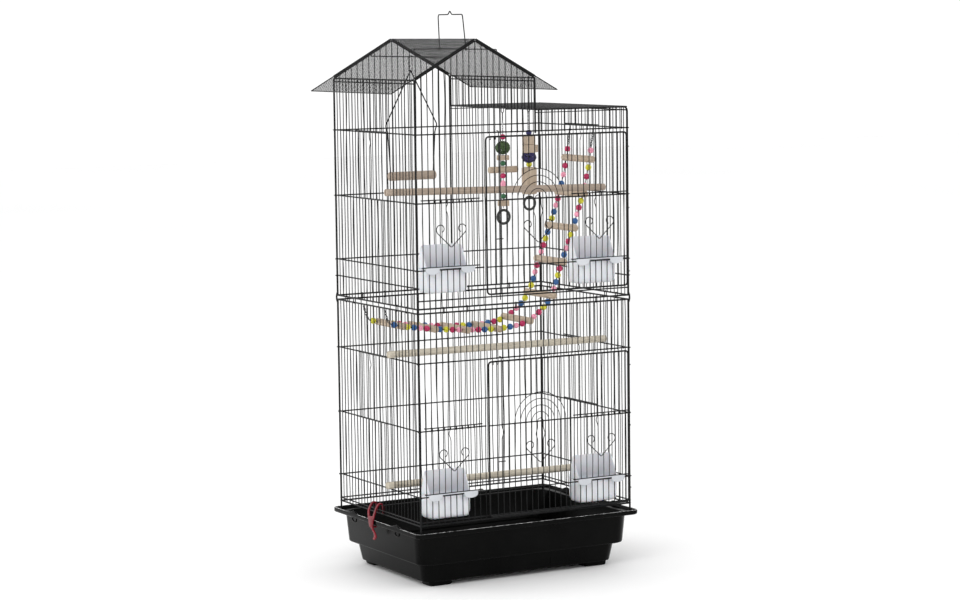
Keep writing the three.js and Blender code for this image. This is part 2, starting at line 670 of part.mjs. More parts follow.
function drilled(low, high, x, y) {
  return box(low, high).subtract(box([x - HOLE, y - HOLE, low[2] - 1], [x + HOLE, y + HOLE, high[2] + 1]));
}

// A stiff stem with a hook over a top wire, and beads as plain collars on it.
function toyHanger(x, y, hookZ, low, beads) {
  const over = hookZ + WIRE_R + 2 * GAP + 0.9;
  const out = WIRE_R + GAP + 0.9;
  const collars = beads.map(([z, r]) => rod([x, y, z - r * 0.9], [x, y, z + r * 0.9], r, 6));
  return joined([
    bar([x, y, low], [x, y, hookZ - 9], STEM),
    bar([x - out, y, hookZ - 9], [x + out, y, hookZ - 9], 1.8),
    bar([x - out, y, hookZ - 9], [x - out, y, over], 1.8),
    bar([x + out, y, hookZ - 9], [x + out, y, over], 1.8),
    bar([x - out, y, over], [x + out, y, over], 1.8),
    ...collars,
  ]);
}

function toyRing(name, x, y, top, radius, tube) {
  const geometry = new THREE.TorusGeometry(radius, tube, 6, 14);
  geometry.rotateX(Math.PI / 2);
  geometry.translate(x, y, top - radius - tube);
  node(name, solid(geometry), RING_LOOK);
}

const TOY_1 = { x: bayX(21), y: -20 };
function toyOne() {
  const { x, y } = TOY_1;
  const z = FLAT_TOP;
  const ringTop = z - 187;
  const beads = [[z - 54, 5.5], [z - 103, 5], [z - 126, 5.5], [z - 145, 7], [z - 164, 4.6]];
  node("toy_1_hanger", toyHanger(x, y, z, ringTop + GAP, beads), BEAD_LOOK);
  node("toy_1_wicker_ball", ball(x, y, z - 74, 14), GREEN_LOOK);
  node("toy_1_block", drilled([x - 10, y - 7, z - 97], [x + 10, y + 7, z - 88], x, y), WOOD_LOOK);
  const stick = rod([x - 30, y, z - 114.5], [x + 30, y, z - 114.5], 6);
  node("toy_1_stick", stick.subtract(box([x - HOLE, y - HOLE, z - 122], [x + HOLE, y + HOLE, z - 107])), WOOD_LOOK);
  node("toy_1_chip", drilled([x - 9.5, y - 6, z - 182], [x + 9.5, y + 6, z - 170], x, y), WOOD_LOOK);
  toyRing("toy_1_ring", x, y, ringTop, 12.5, 2.6);
}

const TOY_2 = { x: bayX(25), y: -32 };
function toyTwo() {
  const { x, y } = TOY_2;
  const z = FLAT_TOP;
  const ringTop = z - 164;
  node("toy_2_hanger", toyHanger(x, y, z, ringTop + GAP, [[z - 47, 5.5], [z - 106, 5]]), NAVY_LOOK);
  const blocks = drilled([x - 10, y - 8, z - 85], [x + 10, y + 8, z - 54], x, y);
  node("toy_2_blocks", blocks.add(box([x + 9, y - 5, z - 84], [x + 17, y + 5, z - 70])), WOOD_LOOK);
  const middle = (z - 85 + z - 101) / 2 - 2.5;
  node("toy_2_wicker_ball", ball(x, y, middle - 0.5, 13).intersect(
    box([x - 15, y - 15, z - 100.6], [x + 15, y + 15, z - 85.4])), NAVY_LOOK);
  const log = rod([x, y, z - 161], [x, y, z - 111.5], 14, 8);
  node("toy_2_log", log.subtract(box([x - HOLE, y - HOLE, z - 163], [x + HOLE, y + HOLE, z - 109])), WOOD_LOOK);
  toyRing("toy_2_ring", x, y, ringTop, 11.8, 2.4);
}

// ---- bead bridge -------------------------------------------------------------------------------------------------
// The middle line from the right wall's top ring down and across to the left wall's seam.
const BRIDGE_LINE = [
  [211, -5, 776], [207, -5, 747], [190, -5, 683], [169, -2, 620], [146, 0, 559], [124, 4, 497],
  [81, 8, 458], [30, 10, 447], [-35, 12, 447], [-100, 14, 452], [-166, 16, 460], [-205, 17, 468],
];
const BRIDGE_HALF = 42;
const RUNG_R = 6.5;
const BEAD_R = 5.3;
const BRIDGE_WIRE_R = 1.2;

function bridgeCurve(offset) {
  return new THREE.CatmullRomCurve3(BRIDGE_LINE.map(([x, y, z]) => new THREE.Vector3(x, y + offset, z)));
}

// Where the rungs sit along the line, as shares of its length.
const RUNGS = range(0, 9).map((i) => 0.035 + i * 0.1035);

function bridgeWire(word, offset) {
  const curve = bridgeCurve(offset);
  const length = curve.getLength();
  const clearRung = (RUNG_R + 1.2) / length;
  const path = [curve.getPointAt(0)];
  const radii = [BRIDGE_WIRE_R];
  RUNGS.forEach((share, i) => {
    const next = i + 1 < RUNGS.length ? RUNGS[i + 1] : 1;
    const from = share + clearRung;
    const to = Math.min(next - clearRung, 0.995);
    const add = (at, radius) => {
      path.push(curve.getPointAt(at));
      radii.push(radius);
    };
    add(share, BRIDGE_WIRE_R);
    add(from, BRIDGE_WIRE_R);
    if (to - from < 0.02) return;
    add(from + 0.002, BEAD_R);
    if (i > 3 && i < 7) add((from + to) / 2, BEAD_R);
    add(to - 0.002, BEAD_R);
    add(to, BRIDGE_WIRE_R);
  });
  const points = path.map((p) => p.toArray());
  const hookTop = [RIGHT - 5, points[0][1], ring(SECTIONS.upper) - 3];
  const end = points[points.length - 1];
  const hookEnd = [LEFT + 5, end[1], SEAM - 9];
  const parts = [
    sweep(points, radii, 5, 0),
    bar(hookTop, [points[0][0], points[0][1], points[0][2] - 2], 2),
    bar([end[0] + 1, end[1], end[2]], hookEnd, 2),
  ];
  node(`bridge_${word}_wire`, joined(parts), BEAD_LOOK);
}

function bridgeRungs() {
  const curve = bridgeCurve(0);
  const reach = BRIDGE_HALF + 11;
  RUNGS.forEach((share, i) => {
    const p = curve.getPointAt(share);
    const ahead = curve.getTangentAt(share);
    let rung = rod([p.x, p.y - reach, p.z], [p.x, p.y + reach, p.z], RUNG_R, 6);
    for (const side of [-BRIDGE_HALF, BRIDGE_HALF]) {
      const a = [p.x - ahead.x * 9, p.y + side - ahead.y * 9, p.z - ahead.z * 9];
      const b = [p.x + ahead.x * 9, p.y + side + ahead.y * 9, p.z + ahead.z * 9];
      rung = rung.subtract(bar(a, b, 4));
    }
    node(`bridge_rung_${i + 1}`, rung, WOOD_LOOK);
  });
}

// ---- the whole cage ------------------------------------------------------------------------------------------------
baseTray();
trayClip("left", -1);
trayClip("right", 1);
for (const name of ["lower", "upper"]) {
  frontWall(name);
  backWall(name);
  sideWall(name, LEFT, "left");
  sideWall(name, RIGHT, "right");
  mainDoor(name);
  doorBolt(name);
  feederDoor(name, "left", (bayX(FEEDER_BAYS[0]) + bayX(FEEDER_BAYS[1])) / 2, DOOR_Y);
  feederDoor(name, "right", (DOOR_FEEDER[0] + DOOR_FEEDER[1]) / 2, FEED_Y);
  sideDoor(name, LEFT, "left");
  sideDoor(name, RIGHT, "right");
  feederCup(name, "left", (bayX(FEEDER_BAYS[0]) + bayX(FEEDER_BAYS[1])) / 2 - 3, FRONT, DOOR_Y);
  feederCup(name, "right", (DOOR_FEEDER[0] + DOOR_FEEDER[1]) / 2, DOOR_Y, FEED_Y);
}
topPanel();
roofSlope("left", -1);
roofSlope("right", 1);
carryHandle();
perch("upper_perch", head(SECTIONS.upper), [8, 7], UPPER_PERCH_TILT);
perch("middle_perch", ring(SECTIONS.lower), [8, 7]);
perch("lower_perch", SECTIONS.lower.sill, [9, 8]);
swing();
toyOne();
toyTwo();
bridgeWire("front", -BRIDGE_HALF);
bridgeWire("back", BRIDGE_HALF);
bridgeRungs();

// The origin is the middle of the bounding box at the floor: from the roof's left tip to the right clip.
const BOX_LEFT = RIDGE_X - HALF_SPAN - EAVE_OUT - 1;
const BOX_RIGHT = TAIL_OUT + TAIL_TIP_R * Math.SQRT1_2;
cage.position.x = -(BOX_LEFT + BOX_RIGHT) / 2;

export default cage;
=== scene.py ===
import math
import random

import bmesh
import bpy
from mathutils import Matrix, Vector


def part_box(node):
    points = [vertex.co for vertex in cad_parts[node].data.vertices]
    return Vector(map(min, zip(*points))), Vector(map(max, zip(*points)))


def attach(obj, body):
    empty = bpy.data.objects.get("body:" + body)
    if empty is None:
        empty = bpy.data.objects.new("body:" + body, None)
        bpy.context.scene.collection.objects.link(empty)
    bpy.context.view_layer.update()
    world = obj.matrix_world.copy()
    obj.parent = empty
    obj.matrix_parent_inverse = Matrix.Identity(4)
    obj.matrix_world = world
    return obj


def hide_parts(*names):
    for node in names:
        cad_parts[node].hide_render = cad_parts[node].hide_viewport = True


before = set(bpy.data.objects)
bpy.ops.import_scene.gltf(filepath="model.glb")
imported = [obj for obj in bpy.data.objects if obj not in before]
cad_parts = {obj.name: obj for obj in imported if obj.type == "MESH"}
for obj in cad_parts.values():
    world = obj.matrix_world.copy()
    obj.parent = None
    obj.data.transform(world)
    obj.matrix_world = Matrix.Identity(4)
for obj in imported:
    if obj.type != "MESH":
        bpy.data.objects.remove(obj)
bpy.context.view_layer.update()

# ---- the frame's measures, in cage millimetres: x = 0 over the middle of the tray ---------------------
MM = 1000.0


def cad(node):
    """A CAD node's lowest and highest corner, in millimetres of the row frame."""
    low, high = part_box(node)
    return low * MM, high * MM


_front_low, _front_high = cad("lower_front_panel")
_tray_low, _tray_high = cad("base_tray")
SHIFT = (_tray_low.x + _tray_high.x) / 2
POST_SIZE = 3.2
LEFT = _front_low.x - SHIFT + POST_SIZE / 2
RIGHT = -LEFT
FRONT = (_front_low.y + POST_SIZE / 2)
BACK = -FRONT
BAYS_X = 36
BAYS_Y = 26
PITCH_X = (RIGHT - LEFT) / BAYS_X
PITCH_Y = (BACK - FRONT) / BAYS_Y

WIRE_R = 0.86
THIN_R = 0.72
RAIL_R = 1.25
EDGE_R = 1.25
SEAM_R = 1.55
POST_R = 1.75
WELD = 1.85                              # centre to centre of two wires welded across each other
LAYER = 3.2                              # from a wall's plane to the plane of the doors in front of it
END_WIRE = 2.6                           # side panels end against the corner posts

SHELF = 100
RIM_TOP = 106
SECOND_RAIL = 6
FLAT_TOP = 854
EAVE = 911
APEX = 979
DOOR_HEIGHT = 282
FEEDER_BAY = 119
SIDE_BAY = 121.5
SECTIONS = {
    "lower": {"base": 118, "sill": 169, "door": 122, "top": 499},
    "upper": {"base": 507, "sill": 575, "door": 526, "top": FLAT_TOP},
}
GUARD_FRONT = 521
GUARD_SIDE = 544
STEP_BAY = 20
COLUMN_BAY = 11
FEEDER_BAYS = (1, 10)
SIDE_DOOR_BAYS = {"lower": (10, 19), "upper": (9, 18)}
SIDE_KINK_BAY = {"lower": 15, "upper": 14}
FRAME_LEFT = -80
FRAME_RIGHT = 216
DOOR_FEEDER = (99, 209)
DOOR_PITCH = 12
ARC_X = 27
DOOR_Y = FRONT - LAYER
FEED_Y = DOOR_Y - 2.7
RIDGE_X = LEFT + STEP_BAY / 2 * PITCH_X
HALF_SPAN = STEP_BAY / 2 * PITCH_X
SLOPE = (APEX - EAVE) / HALF_SPAN
EAVE_OUT = 47
SHEET_LIFT = 3.6
MID_SPAN = 0.375 * HALF_SPAN
UP = Vector((0, 0, 1))
rng = random.Random(7)


def bay_x(bay):
    return LEFT + bay * PITCH_X


def bay_y(bay):
    return FRONT + bay * PITCH_Y


def head(section):
    return section["sill"] + FEEDER_BAY


def ring_level(section):
    return head(section) + SIDE_BAY


def wall_top(bay):
    half = STEP_BAY / 2
    if bay > STEP_BAY:
        return FLAT_TOP
    return APEX - (APEX - EAVE) * abs(bay - half) / half


# ---- camera ------------------------------------------------------------------------------------------------
CAMERA = {"at": (-2.4311, -4.3719, 1.0156), "azimuth": -29.169, "down": 5.904, "roll": -0.730, "lens": 101.60}


def make_camera():
    data = bpy.data.cameras.new("camera")
    camera = bpy.data.objects.new("camera", data)
    bpy.context.scene.collection.objects.link(camera)
    data.sensor_width = 36
    data.lens = CAMERA["lens"]
    data.clip_end = 60
    a, d, r = (math.radians(CAMERA[k]) for k in ("azimuth", "down", "roll"))
    ahead = Vector((-math.sin(a) * math.cos(d), math.cos(a) * math.cos(d), -math.sin(d)))
    right = ahead.cross(UP).normalized()
    up = right.cross(ahead)
    rolled_right = right * math.cos(r) + up * math.sin(r)
    rolled_up = up * math.cos(r) - right * math.sin(r)
    camera.matrix_world = Matrix((
        (rolled_right.x, rolled_up.x, -ahead.x, CAMERA["at"][0]),
        (rolled_right.y, rolled_up.y, -ahead.y, CAMERA["at"][1]),
        (rolled_right.z, rolled_up.z, -ahead.z, CAMERA["at"][2]),
        (0, 0, 0, 1),
    ))
    bpy.context.scene.camera = camera


make_camera()


# ---- materials ---------------------------------------------------------------------------------------------
class Look:
    """A procedural material: a principled shader with helpers for its texture nodes."""

    def __init__(self, name, roughness, **constants):
        self.material = bpy.data.materials.new(name)
        self.material.use_nodes = True
        self.nodes = self.material.node_tree.nodes
        self.links = self.material.node_tree.links
        self.shader = self.nodes["Principled BSDF"]
        self.shader.inputs["Roughness"].default_value = roughness
        for socket, value in constants.items():
            self.shader.inputs[socket.replace("_", " ")].default_value = value
        self.place = self.nodes.new("ShaderNodeTexCoord").outputs["Object"]

    def stretched(self, scale):
        mapping = self.nodes.new("ShaderNodeMapping")
        mapping.inputs["Scale"].default_value = scale
        self.links.new(self.place, mapping.inputs["Vector"])
        return mapping.outputs["Vector"]

    def noise(self, scale, detail=4, rough=0.55, vector=None, distortion=0.0):
        node = self.nodes.new("ShaderNodeTexNoise")
        node.inputs["Scale"].default_value = scale
        node.inputs["Detail"].default_value = detail
        node.inputs["Roughness"].default_value = rough
        node.inputs["Distortion"].default_value = distortion
        self.links.new(vector or self.place, node.inputs["Vector"])
        return node.outputs["Fac"]

    def ramp(self, factor, stops):
        node = self.nodes.new("ShaderNodeValToRGB")
        elements = node.color_ramp.elements
        while len(elements) < len(stops):
            elements.new(0.5)
        for element, (position, color) in zip(elements, stops):
            element.position = position
            element.color = (*color, 1)
        self.links.new(factor, node.inputs["Fac"])
        return node.outputs["Color"]

    def mix(self, factor, a, b, blend="MIX"):
        node = self.nodes.new("ShaderNodeMix")
        node.data_type = "RGBA"
        node.blend_type = blend
        for socket, value in ((node.inputs["Factor"], factor), (node.inputs[6], a), (node.inputs[7], b)):
            if isinstance(value, bpy.types.NodeSocket):
                self.links.new(value, socket)
            else:
                socket.default_value = value
        return node.outputs[2]

    def spread(self, factor, low, high):
        node = self.nodes.new("ShaderNodeMapRange")
        node.inputs["From Min"].default_value = 0.25
        node.inputs["From Max"].default_value = 0.75
        node.inputs["To Min"].default_value = low
        node.inputs["To Max"].default_value = high
        self.links.new(factor, node.inputs["Value"])
        return node.outputs["Result"]

    def color(self, value):
        self.links.new(value, self.shader.inputs["Base Color"])
        return self

    def roughness(self, value):
        self.links.new(value, self.shader.inputs["Roughness"])
        return self

    def bump(self, factor, strength, distance):
        node = self.nodes.new("ShaderNodeBump")
        node.inputs["Strength"].default_value = strength
        node.inputs["Distance"].default_value = distance
        self.links.new(factor, node.inputs["Height"])
        self.links.new(node.outputs["Normal"], self.shader.inputs["Normal"])
        return self


def mottled(name, dark, light, rough, scale, grain, strength, distance, **constants):
    """A moulded or coated surface: two close tones, uneven gloss and a fine grain. With far-apart tones it serves for a
    broken painted highlight.
    """
    look = Look(name, rough[0], **constants)
    cloud = look.noise(scale)
    look.color(look.ramp(cloud, [(0.35, dark), (0.65, light)]))
    look.roughness(look.spread(look.noise(scale * 2.3), *rough))
    look.bump(look.noise(grain, detail=2), strength, distance)
    return look.material


def wood(name, axis, tones, fine=1.0):
    """Sanded wood with its grain along one axis, pale and dark streaks and open pores."""
    look = Look(name, 0.62)
    along = [260.0 * fine] * 3
    along[axis] = 9.0
    streaks = look.noise(1.0, detail=6, rough=0.6, vector=look.stretched(along), distortion=0.6)
    broad = [70.0] * 3
    broad[axis] = 14.0
    clouds = look.noise(1.0, detail=2, vector=look.stretched(broad))
    pores = [900.0] * 3
    pores[axis] = 60.0
    pore = look.noise(1.0, detail=2, vector=look.stretched(pores))
    base = look.ramp(streaks, [(0.30, tones[0]), (0.52, tones[1]), (0.72, tones[2])])
    toned = look.mix(look.spread(clouds, 0.0, 0.45), base, (*tones[3], 1))
    dark_pore = look.ramp(pore, [(0.30, (0.55, 0.50, 0.46)), (0.42, (1, 1, 1))])
    look.color(look.mix(0.6, toned, dark_pore, "MULTIPLY"))
    look.roughness(look.spread(streaks, 0.52, 0.74))
    look.bump(streaks, 0.25, 0.0003)
    return look.material


BLACK = mottled("black_coating", (0.0030, 0.0031, 0.0033), (0.0075, 0.0077, 0.0080), (0.30, 0.46), 60, 900,
                0.18, 0.0002, Specular_IOR_Level=0.14)
ROOF_BLACK = mottled("roof_coating", (0.006, 0.0062, 0.0065), (0.012, 0.0123, 0.0127), (0.38, 0.55), 60, 900,
                     0.2, 0.0002, Specular_IOR_Level=0.2)
TRAY_BLACK = mottled("tray_plastic", (0.0016, 0.0017, 0.0016), (0.0032, 0.0033, 0.0031), (0.14, 0.26), 14, 420,
                     0.10, 0.0003, Specular_IOR_Level=0.045)
# painted highlight: the rim's broken white gleam, painted into the base colour of the rim's top faces
RIM_PAINTED_HIGHLIGHT = mottled("tray_rim_painted_highlight", (0.03, 0.03, 0.03), (0.85, 0.85, 0.85), (0.10, 0.22), 130, 420,
                    0.10, 0.0003, Specular_IOR_Level=0.6)
CUP_WHITE = mottled("cup_plastic", (0.74, 0.76, 0.80), (0.80, 0.815, 0.85), (0.32, 0.46), 22, 500,
                    0.10, 0.0002, Subsurface_Weight=0.12, Subsurface_Scale=0.004)
# painted shade: a darker copy of the cups' white plastic, for the ledge and lobes at the sill
TAB_WHITE_SHADED = mottled("tab_plastic_painted_shade", (0.50, 0.52, 0.55), (0.57, 0.585, 0.615), (0.32, 0.46), 22, 500,
                    0.10, 0.0002)
CLIP_RED = mottled("clip_plastic", (0.13, 0.003, 0.009), (0.20, 0.006, 0.016), (0.28, 0.42), 50, 600,
                   0.15, 0.0002, Specular_IOR_Level=0.25)
RING_BLACK = mottled("ring_plastic", (0.010, 0.012, 0.011), (0.022, 0.026, 0.023), (0.25, 0.42), 90, 700,
                     0.15, 0.0002)
STEEL = mottled("plated_links", (0.42, 0.42, 0.43), (0.60, 0.60, 0.61), (0.22, 0.40), 200, 900, 0.1, 0.0001,
                Metallic=0.95)
DARK_STEEL = mottled("dark_links", (0.05, 0.05, 0.052), (0.12, 0.12, 0.125), (0.25, 0.42), 200, 900, 0.1,
                     0.0001, Metallic=0.8)
SMOKED = ((0.26, 0.205, 0.16), (0.38, 0.305, 0.24), (0.47, 0.385, 0.31), (0.41, 0.315, 0.25))
PALE = ((0.35, 0.27, 0.195), (0.48, 0.385, 0.285), (0.58, 0.48, 0.365), (0.47, 0.36, 0.27))
BLEACHED = ((0.44, 0.39, 0.31), (0.57, 0.52, 0.42), (0.66, 0.61, 0.51), (0.55, 0.49, 0.40))
WOOD = {axis: wood(f"perch_wood_{'xyz'[axis]}", axis, SMOKED) for axis in (0, 1, 2)}
PALE_WOOD = wood("pale_perch_wood", 0, BLEACHED)
TOY_WOOD = {axis: wood(f"toy_wood_{'xyz'[axis]}", axis, PALE) for axis in (0, 1, 2)}


def bead_look(name, color):
    lighter = tuple(min(1.0, c * 1.25 + 0.01) for c in color)
    return mottled(f"{name}_paint", color, lighter, (0.22, 0.38), 160, 1200, 0.12, 0.0002)


BEADS = {
    "crimson": ("bead_crimson", bead_look("crimson", (0.42, 0.010, 0.085))),
    "pink": ("bead_pink", bead_look("pink", (0.80, 0.30, 0.42))),
    "blue": ("bead_blue", bead_look("blue", (0.010, 0.085, 0.26))),
    "yellow": ("bead_yellow", bead_look("yellow", (0.56, 0.53, 0.016))),
    "green": ("bead_green", bead_look("green", (0.010, 0.10, 0.035))),
    "navy": ("bead_navy", bead_look("navy", (0.010, 0.010, 0.09))),
}


def vine(name, tones):
    look = Look(name, 0.55)
    streaks = look.noise(420, detail=5, distortion=0.8)
    look.color(look.ramp(streaks, [(0.32, tones[0]), (0.5, tones[1]), (0.7, tones[2])]))
    look.roughness(look.spread(streaks, 0.42, 0.68))
    look.bump(streaks, 0.5, 0.0004)
    return look.material


GREEN_VINE = vine("green_vine", ((0.012, 0.028, 0.006), (0.035, 0.075, 0.018), (0.085, 0.14, 0.05)))
NAVY_VINE = vine("navy_vine", ((0.006, 0.004, 0.030), (0.014, 0.010, 0.075), (0.045, 0.035, 0.16)))


# ---- mesh building -----------------------------------------------------------------------------------------
def turned_frames(points, closed):
    """A side and an up vector at each point of a path, carried along without twist."""
    count = len(points)
    tangents = []
    for i in range(count):
        before = points[i - 1] if closed or i else points[0]
        after = points[(i + 1) % count] if closed or i + 1 < count else points[-1]
        tangents.append((after - before).normalized())
    axis = Vector((1, 0, 0)) if abs(tangents[0].x) < 0.8 else Vector((0, 1, 0))
    side = (axis - tangents[0] * axis.dot(tangents[0])).normalized()
    frames = []
    for tangent in tangents:
        side = (side - tangent * side.dot(tangent)).normalized()
        frames.append((tangent, side, tangent.cross(side)))
    return frames


class Shape:
    """Vertices in cage millimetres and faces, gathered for one piece."""

    def __init__(self):
        self.verts = []
        self.faces = []

    def loft(self, rings, closed=False, caps=True):
        start = len(self.verts)
        size = len(rings[0])
        for ring in rings:
            self.verts.extend(ring)
        for r in range(len(rings) if closed else len(rings) - 1):
            a = start + r * size
            b = start + (r + 1) % len(rings) * size
            for k in range(size):
                m = (k + 1) % size
                self.faces.append((a + k, a + m, b + m, b + k))
        if caps and not closed:
            last = start + (len(rings) - 1) * size
            self.faces.append(tuple(start + k for k in reversed(range(size))))
            self.faces.append(tuple(last + k for k in range(size)))
        return self

    def tube(self, path, radius, sides=8, closed=False, flat=1.0):
        """A round wire along a path. An open one gets slightly rounded ends."""
        points = [Vector(p) for p in path]
        radii = list(radius) if isinstance(radius, (list, tuple)) else [radius] * len(points)
        frames = turned_frames(points, closed)
        rings = []
        for point, r, (_, side, up) in zip(points, radii, frames):
            rings.append(self.circle(point, r, side, up, sides, flat))
        if not closed:
            for end, index, sign in ((0, 0, 1), (len(rings), -1, -1)):
                tangent, side, up = frames[index]
                r = radii[index]
                tip = self.circle(points[index], r * 0.55, side, up, sides, flat)
                rings[index] = self.circle(points[index] + tangent * sign * r * 0.4, r, side, up, sides, flat)
                rings.insert(end if end == 0 else len(rings), tip)
        return self.loft(rings, closed)

    @staticmethod
    def circle(centre, radius, side, up, sides, flat=1.0):
        turn = 2 * math.pi / sides
        return [centre + side * (radius * math.cos(k * turn)) + up * (radius * flat * math.sin(k * turn))
                for k in range(sides)]

    def lathe(self, centre, outline, axis=(0, 0, 1), sides=16):
        """A turned solid: pairs of radius and height along the axis."""
        ahead = Vector(axis).normalized()
        helper = Vector((1, 0, 0)) if abs(ahead.x) < 0.8 else Vector((0, 1, 0))
        side = (helper - ahead * helper.dot(ahead)).normalized()
        up = ahead.cross(side)
        middle = Vector(centre)
        return self.loft([self.circle(middle + ahead * h, r, side, up, sides) for r, h in outline])

    def block(self, low, high, corner, edge):
        """A box with rounded upright edges and chamfered top and bottom."""
        cx, cy = (low[0] + high[0]) / 2, (low[1] + high[1]) / 2
        hx, hy = (high[0] - low[0]) / 2, (high[1] - low[1]) / 2
        levels = ((low[2], edge), (low[2] + edge, 0), (high[2] - edge, 0), (high[2], edge))
        return self.loft([round_rect(hx - inset, hy - inset, z, max(corner - inset, 0.1), (cx, cy))
                          for z, inset in levels])

    def make(self, name, body, slot, look, nodes=(), sharp=40):
        mesh = bpy.data.meshes.new(name)
        mesh.from_pydata([((x + SHIFT) / MM, y / MM, z / MM) for x, y, z in self.verts], [], self.faces)
        mesh.materials.append(look)
        outward = bmesh.new()
        outward.from_mesh(mesh)
        bmesh.ops.recalc_face_normals(outward, faces=outward.faces)
        outward.to_mesh(mesh)
        outward.free()
        mesh.polygons.foreach_set("use_smooth", [True] * len(mesh.polygons))
        mesh.set_sharp_from_angle(angle=math.radians(sharp))
        piece = bpy.data.objects.new(name, mesh)
        bpy.context.scene.collection.objects.link(piece)
        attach(piece, body)
        if nodes:
            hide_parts(*nodes)
        return piece


def round_rect(half_x, half_y, z, radius, centre=(0, 0), steps=4):
    """A rounded rectangle of points at one height, counterclockwise."""
    ring = []
    for quarter, (sx, sy) in enumerate(((1, 1), (-1, 1), (-1, -1), (1, -1))):
        for i in range(steps + 1):
            angle = math.pi / 2 * (quarter + i / steps)
            ring.append(Vector((centre[0] + sx * (half_x - radius) + radius * math.cos(angle),
                                centre[1] + sy * (half_y - radius) + radius * math.sin(angle), z)))
    return ring


def rounded(path, radius, steps=4, closed=False):
    """The path with its corners bent to arcs."""
    points = [Vector(p) for p in path]
    bent = []
    count = len(points)
    for i, point in enumerate(points):
        if not closed and i in (0, count - 1):
            bent.append(point)
            continue
        before, after = points[i - 1], points[(i + 1) % count]
        reach = min(radius, (before - point).length * 0.45, (after - point).length * 0.45)
        a = point + (before - point).normalized() * reach
        b = point + (after - point).normalized() * reach
        for k in range(steps + 1):
            t = k / steps
            bent.append(a * (1 - t) ** 2 + point * (2 * t * (1 - t)) + b * t ** 2)
    return bent


def smooth_path(points, per_span=5, closed=False):
    """A Catmull-Rom curve through the points."""
    pts = [Vector(p) for p in points]
    count = len(pts)
    curve = []
    for i in range(count if closed else count - 1):
        p0 = pts[i - 1] if closed or i else pts[0]
        p1, p2 = pts[i], pts[(i + 1) % count]
        p3 = pts[(i + 2) % count] if closed or i + 2 < count else pts[-1]
        for k in range(per_span):
            t = k / per_span
            curve.append(0.5 * (2 * p1 + (p2 - p0) * t + (2 * p0 - 5 * p1 + 4 * p2 - p3) * t ** 2
                                + (3 * p1 - p0 - 3 * p2 + p3) * t ** 3))
    if not closed:
        curve.append(pts[-1])
    return curve


BOW = 0.45
BOW_STEPS = 4


def bowed(start, end, along, welds, bow=BOW):
    """A drawn wire from start to end, held at the welds and bowed a little between them."""
    a, b = Vector(start), Vector(end)
    length = (b - a).length
    marks = sorted({0.0, length, *(w for w in welds if 0 < w < length)})
    path = []
    for low, high in zip(marks, marks[1:]):
        reach = max(-1.6, min(1.6, rng.gauss(0, bow * min(1.0, (high - low) / 90))))
        steps = BOW_STEPS if high - low > 40 else 1
        for k in range(steps):
            t = k / steps
            path.append(a.lerp(b, (low + (high - low) * t) / length) + along * reach * math.sin(math.pi * t))
    return path + [b]


ALONG_X = Vector((1, 0, 0))
ALONG_Y = Vector((0, 1, 0))


def upright(shape, x, y, low, high, levels, along=ALONG_X, radius=WIRE_R, bow=BOW):
    shape.tube(bowed((x, y, low), (x, y, high), along, [z - low for z in levels], bow), radius)


def bar(shape, start, end, radius=RAIL_R):
    shape.tube([start, end], radius)


def hoop(shape, centre, radius, tube, axis=UP, steps=14, sides=6, arc=1.0):
    """A ring of wire around a centre, or the part of it that arc says."""
    ahead = Vector(axis).normalized()
    helper = ALONG_X if abs(ahead.x) < 0.8 else ALONG_Y
    side = (helper - ahead * helper.dot(ahead)).normalized()
    up = ahead.cross(side)
    closed = arc >= 1.0
    count = steps if closed else steps + 1
    path = [Vector(centre) + side * radius * math.cos(2 * math.pi * arc * k / steps)
            + up * radius * math.sin(2 * math.pi * arc * k / steps) for k in range(count)]
    shape.tube(path, tube, sides, closed)


# ---- front and back walls ----------------------------------------------------------------------------------
def outline(shape, y, name):
    """The bent frame wires of a front or back wall."""
    section = SECTIONS[name]
    if name == "lower":
        for x in (LEFT, RIGHT):
            bar(shape, (x, y, SHELF + 0.3), (x, y, section["top"] + 1.5), POST_R)
        bar(shape, (LEFT - 2, y, section["top"]), (RIGHT + 2, y, section["top"]), SEAM_R)
        bar(shape, (LEFT - 2, y, section["base"] + SECOND_RAIL), (RIGHT + 2, y, section["base"] + SECOND_RAIL))
    else:
        step = bay_x(STEP_BAY)
        roof = [(LEFT, y, section["base"] - 1.5), (LEFT, y, EAVE), (RIDGE_X, y, APEX), (step, y, EAVE),
                (step, y, ring_level(section) - 4)]
        shape.tube(rounded(roof, 4), POST_R)
        flat = [(step, y, FLAT_TOP), (RIGHT, y, FLAT_TOP), (RIGHT, y, section["base"] - 1.5)]
        shape.tube(rounded(flat, 9, 6), POST_R)
        bar(shape, (step + 1, y, FLAT_TOP - 5.5), (RIGHT, y, FLAT_TOP - 5.5), WIRE_R)
    bar(shape, (LEFT - 2, y, section["base"]), (RIGHT + 2, y, section["base"]), SEAM_R)


def top_of(name, bay):
    return wall_top(bay) if name == "upper" else SECTIONS[name]["top"]


